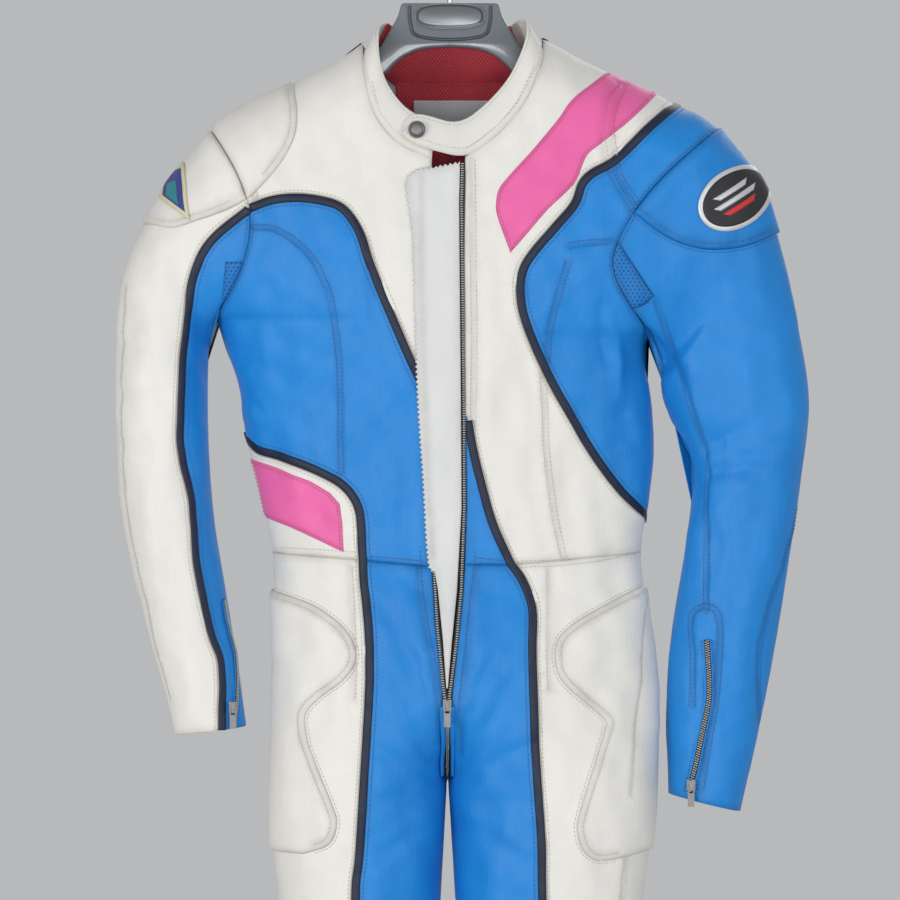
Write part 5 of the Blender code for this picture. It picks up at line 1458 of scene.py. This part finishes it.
def build_threads():
    """Top stitching: a row of threads on each side of the seams, and inside pads and patches."""
    body, sleeve = "body", "sleeve"
    hole_right, hole_left = armhole(RIGHT, 40), armhole(LEFT, 40)
    white = both_sides(body, RIGHT, YOKE_LINE) + both_sides(body, LEFT, PRINCESS_LOW) \
        + both_sides(body, LEFT, PLACKET) \
        + both_sides(body, RIGHT, HIP_DART, rows=(1,)) \
        + both_sides(body, LEFT, HIP_DART_LEFT, rows=(-1,)) \
        + both_sides(body, LEFT, SIDE_LEFT[4:]) \
        + both_sides(body, RIGHT, ((-176, 551), (-140, 552), (-93, 555)), off=3) \
        + both_sides(body, LEFT, ((66, 564), (115, 562), (161, 556), (190, 549)), off=3) \
        + both_sides(sleeve, RIGHT, ELBOW_LINE, rows=(1,)) \
        + both_sides(body, RIGHT, hole_right[4:17], rows=(-1, 1), off=3.2)
    white += beside_bands(
        (body, RIGHT, ARCH[:-1], 1), (body, LEFT, SHOULDER_BAND[:-1], -1),
        (body, RIGHT, WAIST_BAND[1:], -1), (body, RIGHT, THIGH_RIGHT, -1),
        (body, LEFT, WEDGE_BAND[1:], 1), (body, LEFT, THIGH_LEFT, 1),
        (sleeve, RIGHT, SLEEVE_BAND, -1))
    for side, sign in SIGN.items():
        pad = curve(HIP_PAD[side][1:-1])
        white += stitches(body, side, moved(pad, HIP_INSET * sign)[:-2], over=3.1)
        white += stitches(body, side, moved(pad, -2.2 * sign)[:-2], over=0.2)
    inner = moved(curve(SHOULDER_PAD[RIGHT][1:-1]), -PAD_INSET)
    white += stitches(body, RIGHT, upto(below(inner, 70), 188), over=2.6)
    white += stitches(sleeve, RIGHT, inner[inner[:, 0] < -214], over=2.6)
    white += [part for line in PAD_LINES for part in both_sides(body, LEFT, line[3:5], rows=(1,))]
    for side, neck in ((RIGHT, NECK_RIGHT), (LEFT, NECK_LEFT)):
        white += stitches(body, side, moved(curve(neck), 5.5))
    for side in (RIGHT, LEFT):
        for sign in (1, -1):
            white += stitches(body, side, moved(curve(BACK_SEAM[side]), 7 * sign), BACK, pitch=5)
    base, up, normal, _ = collar_frame()
    for share, out in ((0.88, 1.2), (0.15, 1.35)):
        points = base + up * share + normal * out
        white += threads_on(points, normal, up)
    finished(gathered("l_threads_white", white), "thread_white")

    blue = both_sides(body, RIGHT, PRINCESS_RIGHT) + both_sides(body, LEFT, PRINCESS_LEFT) \
        + both_sides(body, LEFT, YOKE_LEFT) + both_sides(sleeve, LEFT, SLEEVE_SEAM) \
        + both_sides(sleeve, LEFT, SLEEVE_SEAM_BACK) + both_sides(sleeve, LEFT, CUFF_BOX) \
        + both_sides(body, RIGHT, FACING_RIGHT, rows=(1,)) \
        + both_sides(body, LEFT, FACING_LEFT, rows=(-1,)) \
        + both_sides(body, LEFT, hole_left[6:34], off=3.2) \
        + both_sides(body, RIGHT, hole_right[19:36], off=3.2, rows=(-1, 1)) \
        + both_sides(body, RIGHT, ((-80, 559), (-34, 563), (-22, 566)), off=3) \
        + both_sides(body, LEFT, ((24, 560), (58, 564)), off=3)
    for line in PAD_LINES:
        blue += both_sides(body, LEFT, line[4:], rows=(1,))
    blue += beside_bands(
        (body, RIGHT, ARCH[:-1], -1), (body, LEFT, SHOULDER_BAND, 1),
        (body, RIGHT, WAIST_BAND[1:], 1), (body, RIGHT, THIGH_RIGHT, 1),
        (body, LEFT, THIGH_LEFT, -1), (sleeve, RIGHT, SLEEVE_BAND, 1))
    pad = curve(SHOULDER_PAD[LEFT][1:-1])
    inner = moved(pad, PAD_INSET)
    blue += stitches(sleeve, LEFT, inner[inner[:, 1] > 206], over=2.6)
    blue += stitches(sleeve, LEFT, moved(pad, -2.4)[pad[:, 1] > 206], over=0.2)
    for side in (RIGHT, LEFT):
        blue += both_sides(sleeve, side, CUFF_ZIP[side], off=6.4)
        blue += stitches(sleeve, side, moved(np.array(GUSSET[side][:4], float), 0), over=1.4,
                         curve=False)
    finished(gathered("l_threads_blue", blue), "thread_blue")

    pink = [part for line in PAD_LINES
            for part in stitches(body, LEFT, line[:4], beside=2.6, over=1.4)]
    for side, outline in ((LEFT, pink_outline()), (RIGHT, corners_kept(PINK_WAIST, 4))):
        line = moved(outline, 3.0 if signed_area(outline) < 0 else -3.0)
        pink += stitches(body, side, line, over=1.4, curve=False)
    finished(gathered("l_threads_pink", pink), "thread_pink")


def threads_on(points, normal, up, pitch=4.2):
    """Threads along a line in space."""
    far = lengths(points)
    at = np.arange(pitch / 2, far[-1], pitch)
    middle, forward, out, up = (read_at(at, far, rows) for rows in
                                (points, np.gradient(points, axis=0), normal, up))
    return [capsule(*row) for row in zip(middle, unit(forward), out, unit(up))]


def build_pulls():
    """Finishes the zip sliders and their pulls, which keep their own shapes."""
    for name in ("main", "cuff_right", "cuff_left"):
        for kind in ("slider", "pull"):
            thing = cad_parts[f"{kind}_{name}"]
            thing.data.materials.clear()
            thing.data.materials.append(look("slider"))
            step = thing.modifiers.new("edges", "BEVEL")
            step.width, step.segments = PULL_EDGE * MM, 2


# The lights: name, place, size, share of the key light's power, colour.
LIGHTS = (("key", (-2.1, -3.0, -0.4), 1.8, 0.7, (1, 0.985, 0.965)),
          ("front", (0.3, -5.2, -1.0), 1.2, 0.75, (1, 1, 1)),
          ("side", (2.4, -2.8, -0.2), 1.6, 0.3, (0.95, 0.97, 1)),
          ("back", (1.2, 2.8, 1.0), 2.0, 0.3, (1, 1, 1)))
LIT_AT = (0, 0, -0.55)


def build_stage(props):
    """Pale floor, soft light from the front left, and the camera, level with the waist."""
    corners = [(x * FLOOR_SIZE, y * FLOOR_SIZE, FLOOR_LEVEL)
               for x, y in ((-1, -1), (1, -1), (1, 1), (-1, 1))]
    floor = mesh_object("floor", corners, [(0, 1, 2, 3)])
    floor.data.materials.append(look("floor"))
    world = bpy.data.worlds.new("studio")
    world.use_nodes = True
    sky = world.node_tree.nodes["Background"].inputs
    sky["Color"].default_value = (0.80, 0.81, 0.83, 1)
    sky["Strength"].default_value = props.fill
    bpy.context.scene.world = world
    for name, spot, size, share, colour in LIGHTS:
        light = bpy.data.lights.new(name, "AREA")
        light.shape, light.size, light.color = "SQUARE", size, colour
        light.energy = props.key * share
        thing = linked(name, light)
        thing.location = spot
        way = Vector(LIT_AT) - Vector(spot)
        thing.rotation_euler = way.to_track_quat("-Z", "Y").to_euler()
    camera = bpy.data.cameras.new("camera")
    camera.lens, camera.sensor_width = props.lens, 36
    thing = linked("camera", camera)
    thing.location = (0, -props.distance, CAMERA_LEVEL)
    thing.rotation_euler = (math.pi / 2, 0, 0)
    bpy.context.scene.camera = thing
    bpy.context.scene.view_settings.view_transform = "Standard"


class StageSettings(bpy.types.PropertyGroup):
    key: bpy.props.FloatProperty(name="Key light", description="Power of the main light",
                                 default=64, min=0, subtype="POWER")
    fill: bpy.props.FloatProperty(name="Fill", description="Strength of the light all round",
                                  default=0.6, min=0)
    distance: bpy.props.FloatProperty(name="Distance", description="From the camera to the hook",
                                      default=6.05, min=0.5, unit="LENGTH")
    lens: bpy.props.FloatProperty(name="Lens", description="Focal length in millimetres",
                                  default=240, min=10)


def operator(name, label, text, build):
    """An operator class whose execute calls one builder."""
    def execute(self, context):
        build()
        return {"FINISHED"}
    return type(name, (bpy.types.Operator,), {
        "__doc__": text, "bl_idname": f"race_suit.{label}", "bl_label": text.rstrip("."),
        "bl_options": {"REGISTER", "UNDO"}, "execute": execute})


class RACESUIT_OT_stage(bpy.types.Operator):
    """Adds the floor, lights and camera."""
    bl_idname = "race_suit.stage"
    bl_label = "Stage"
    bl_options = {"REGISTER", "UNDO"}

    def execute(self, context):
        build_stage(context.scene.race_suit_stage)
        return {"FINISHED"}


STEPS = [operator(f"RACESUIT_OT_{label}", label, text, build) for label, text, build in (
    ("bands", "Navy bands over the seams.", build_bands),
    ("fronts", "Front panels of the trunk.", build_fronts),
    ("legs", "Front panels of the legs.", build_legs),
    ("backs", "Panels of the back.", build_backs),
    ("sleeves", "Sleeve panels and gussets.", build_sleeves),
    ("pads", "Padded hips and shoulders.", build_pads),
    ("patches", "Pink patches.", build_patches),
    ("collar", "Collar, snap, linings and label.", build_collar),
    ("zips", "Zips and wind flap.", build_zips),
    ("badges", "Badges.", build_badges),
    ("hanger", "Hanger and hook.", build_hanger),
    ("threads", "Top stitching.", build_threads),
    ("pulls", "Zip sliders and pulls.", build_pulls),
)]


class RACESUIT_PT_panel(bpy.types.Panel):
    """Builds each part of the suit."""
    bl_label = "Race Suit"
    bl_space_type = "VIEW_3D"
    bl_region_type = "UI"
    bl_category = "Race Suit"

    def draw(self, context):
        for step in (*STEPS, RACESUIT_OT_stage):
            self.layout.operator(step.bl_idname)
        for name in ("key", "fill", "distance", "lens"):
            self.layout.prop(context.scene.race_suit_stage, name)


CLASSES = (StageSettings, *STEPS, RACESUIT_OT_stage, RACESUIT_PT_panel)


def register():
    for kind in CLASSES:
        bpy.utils.register_class(kind)
    bpy.types.Scene.race_suit_stage = bpy.props.PointerProperty(type=StageSettings)


def unregister():
    del bpy.types.Scene.race_suit_stage
    for kind in reversed(CLASSES):
        bpy.utils.unregister_class(kind)


def main():
    register()
    for step in (*STEPS, RACESUIT_OT_stage):
        group, label = step.bl_idname.split(".")
        getattr(getattr(bpy.ops, group), label)()
    for thing, cut in CUTS:
        declared(cut)


if __name__ == "__main__":
    main()
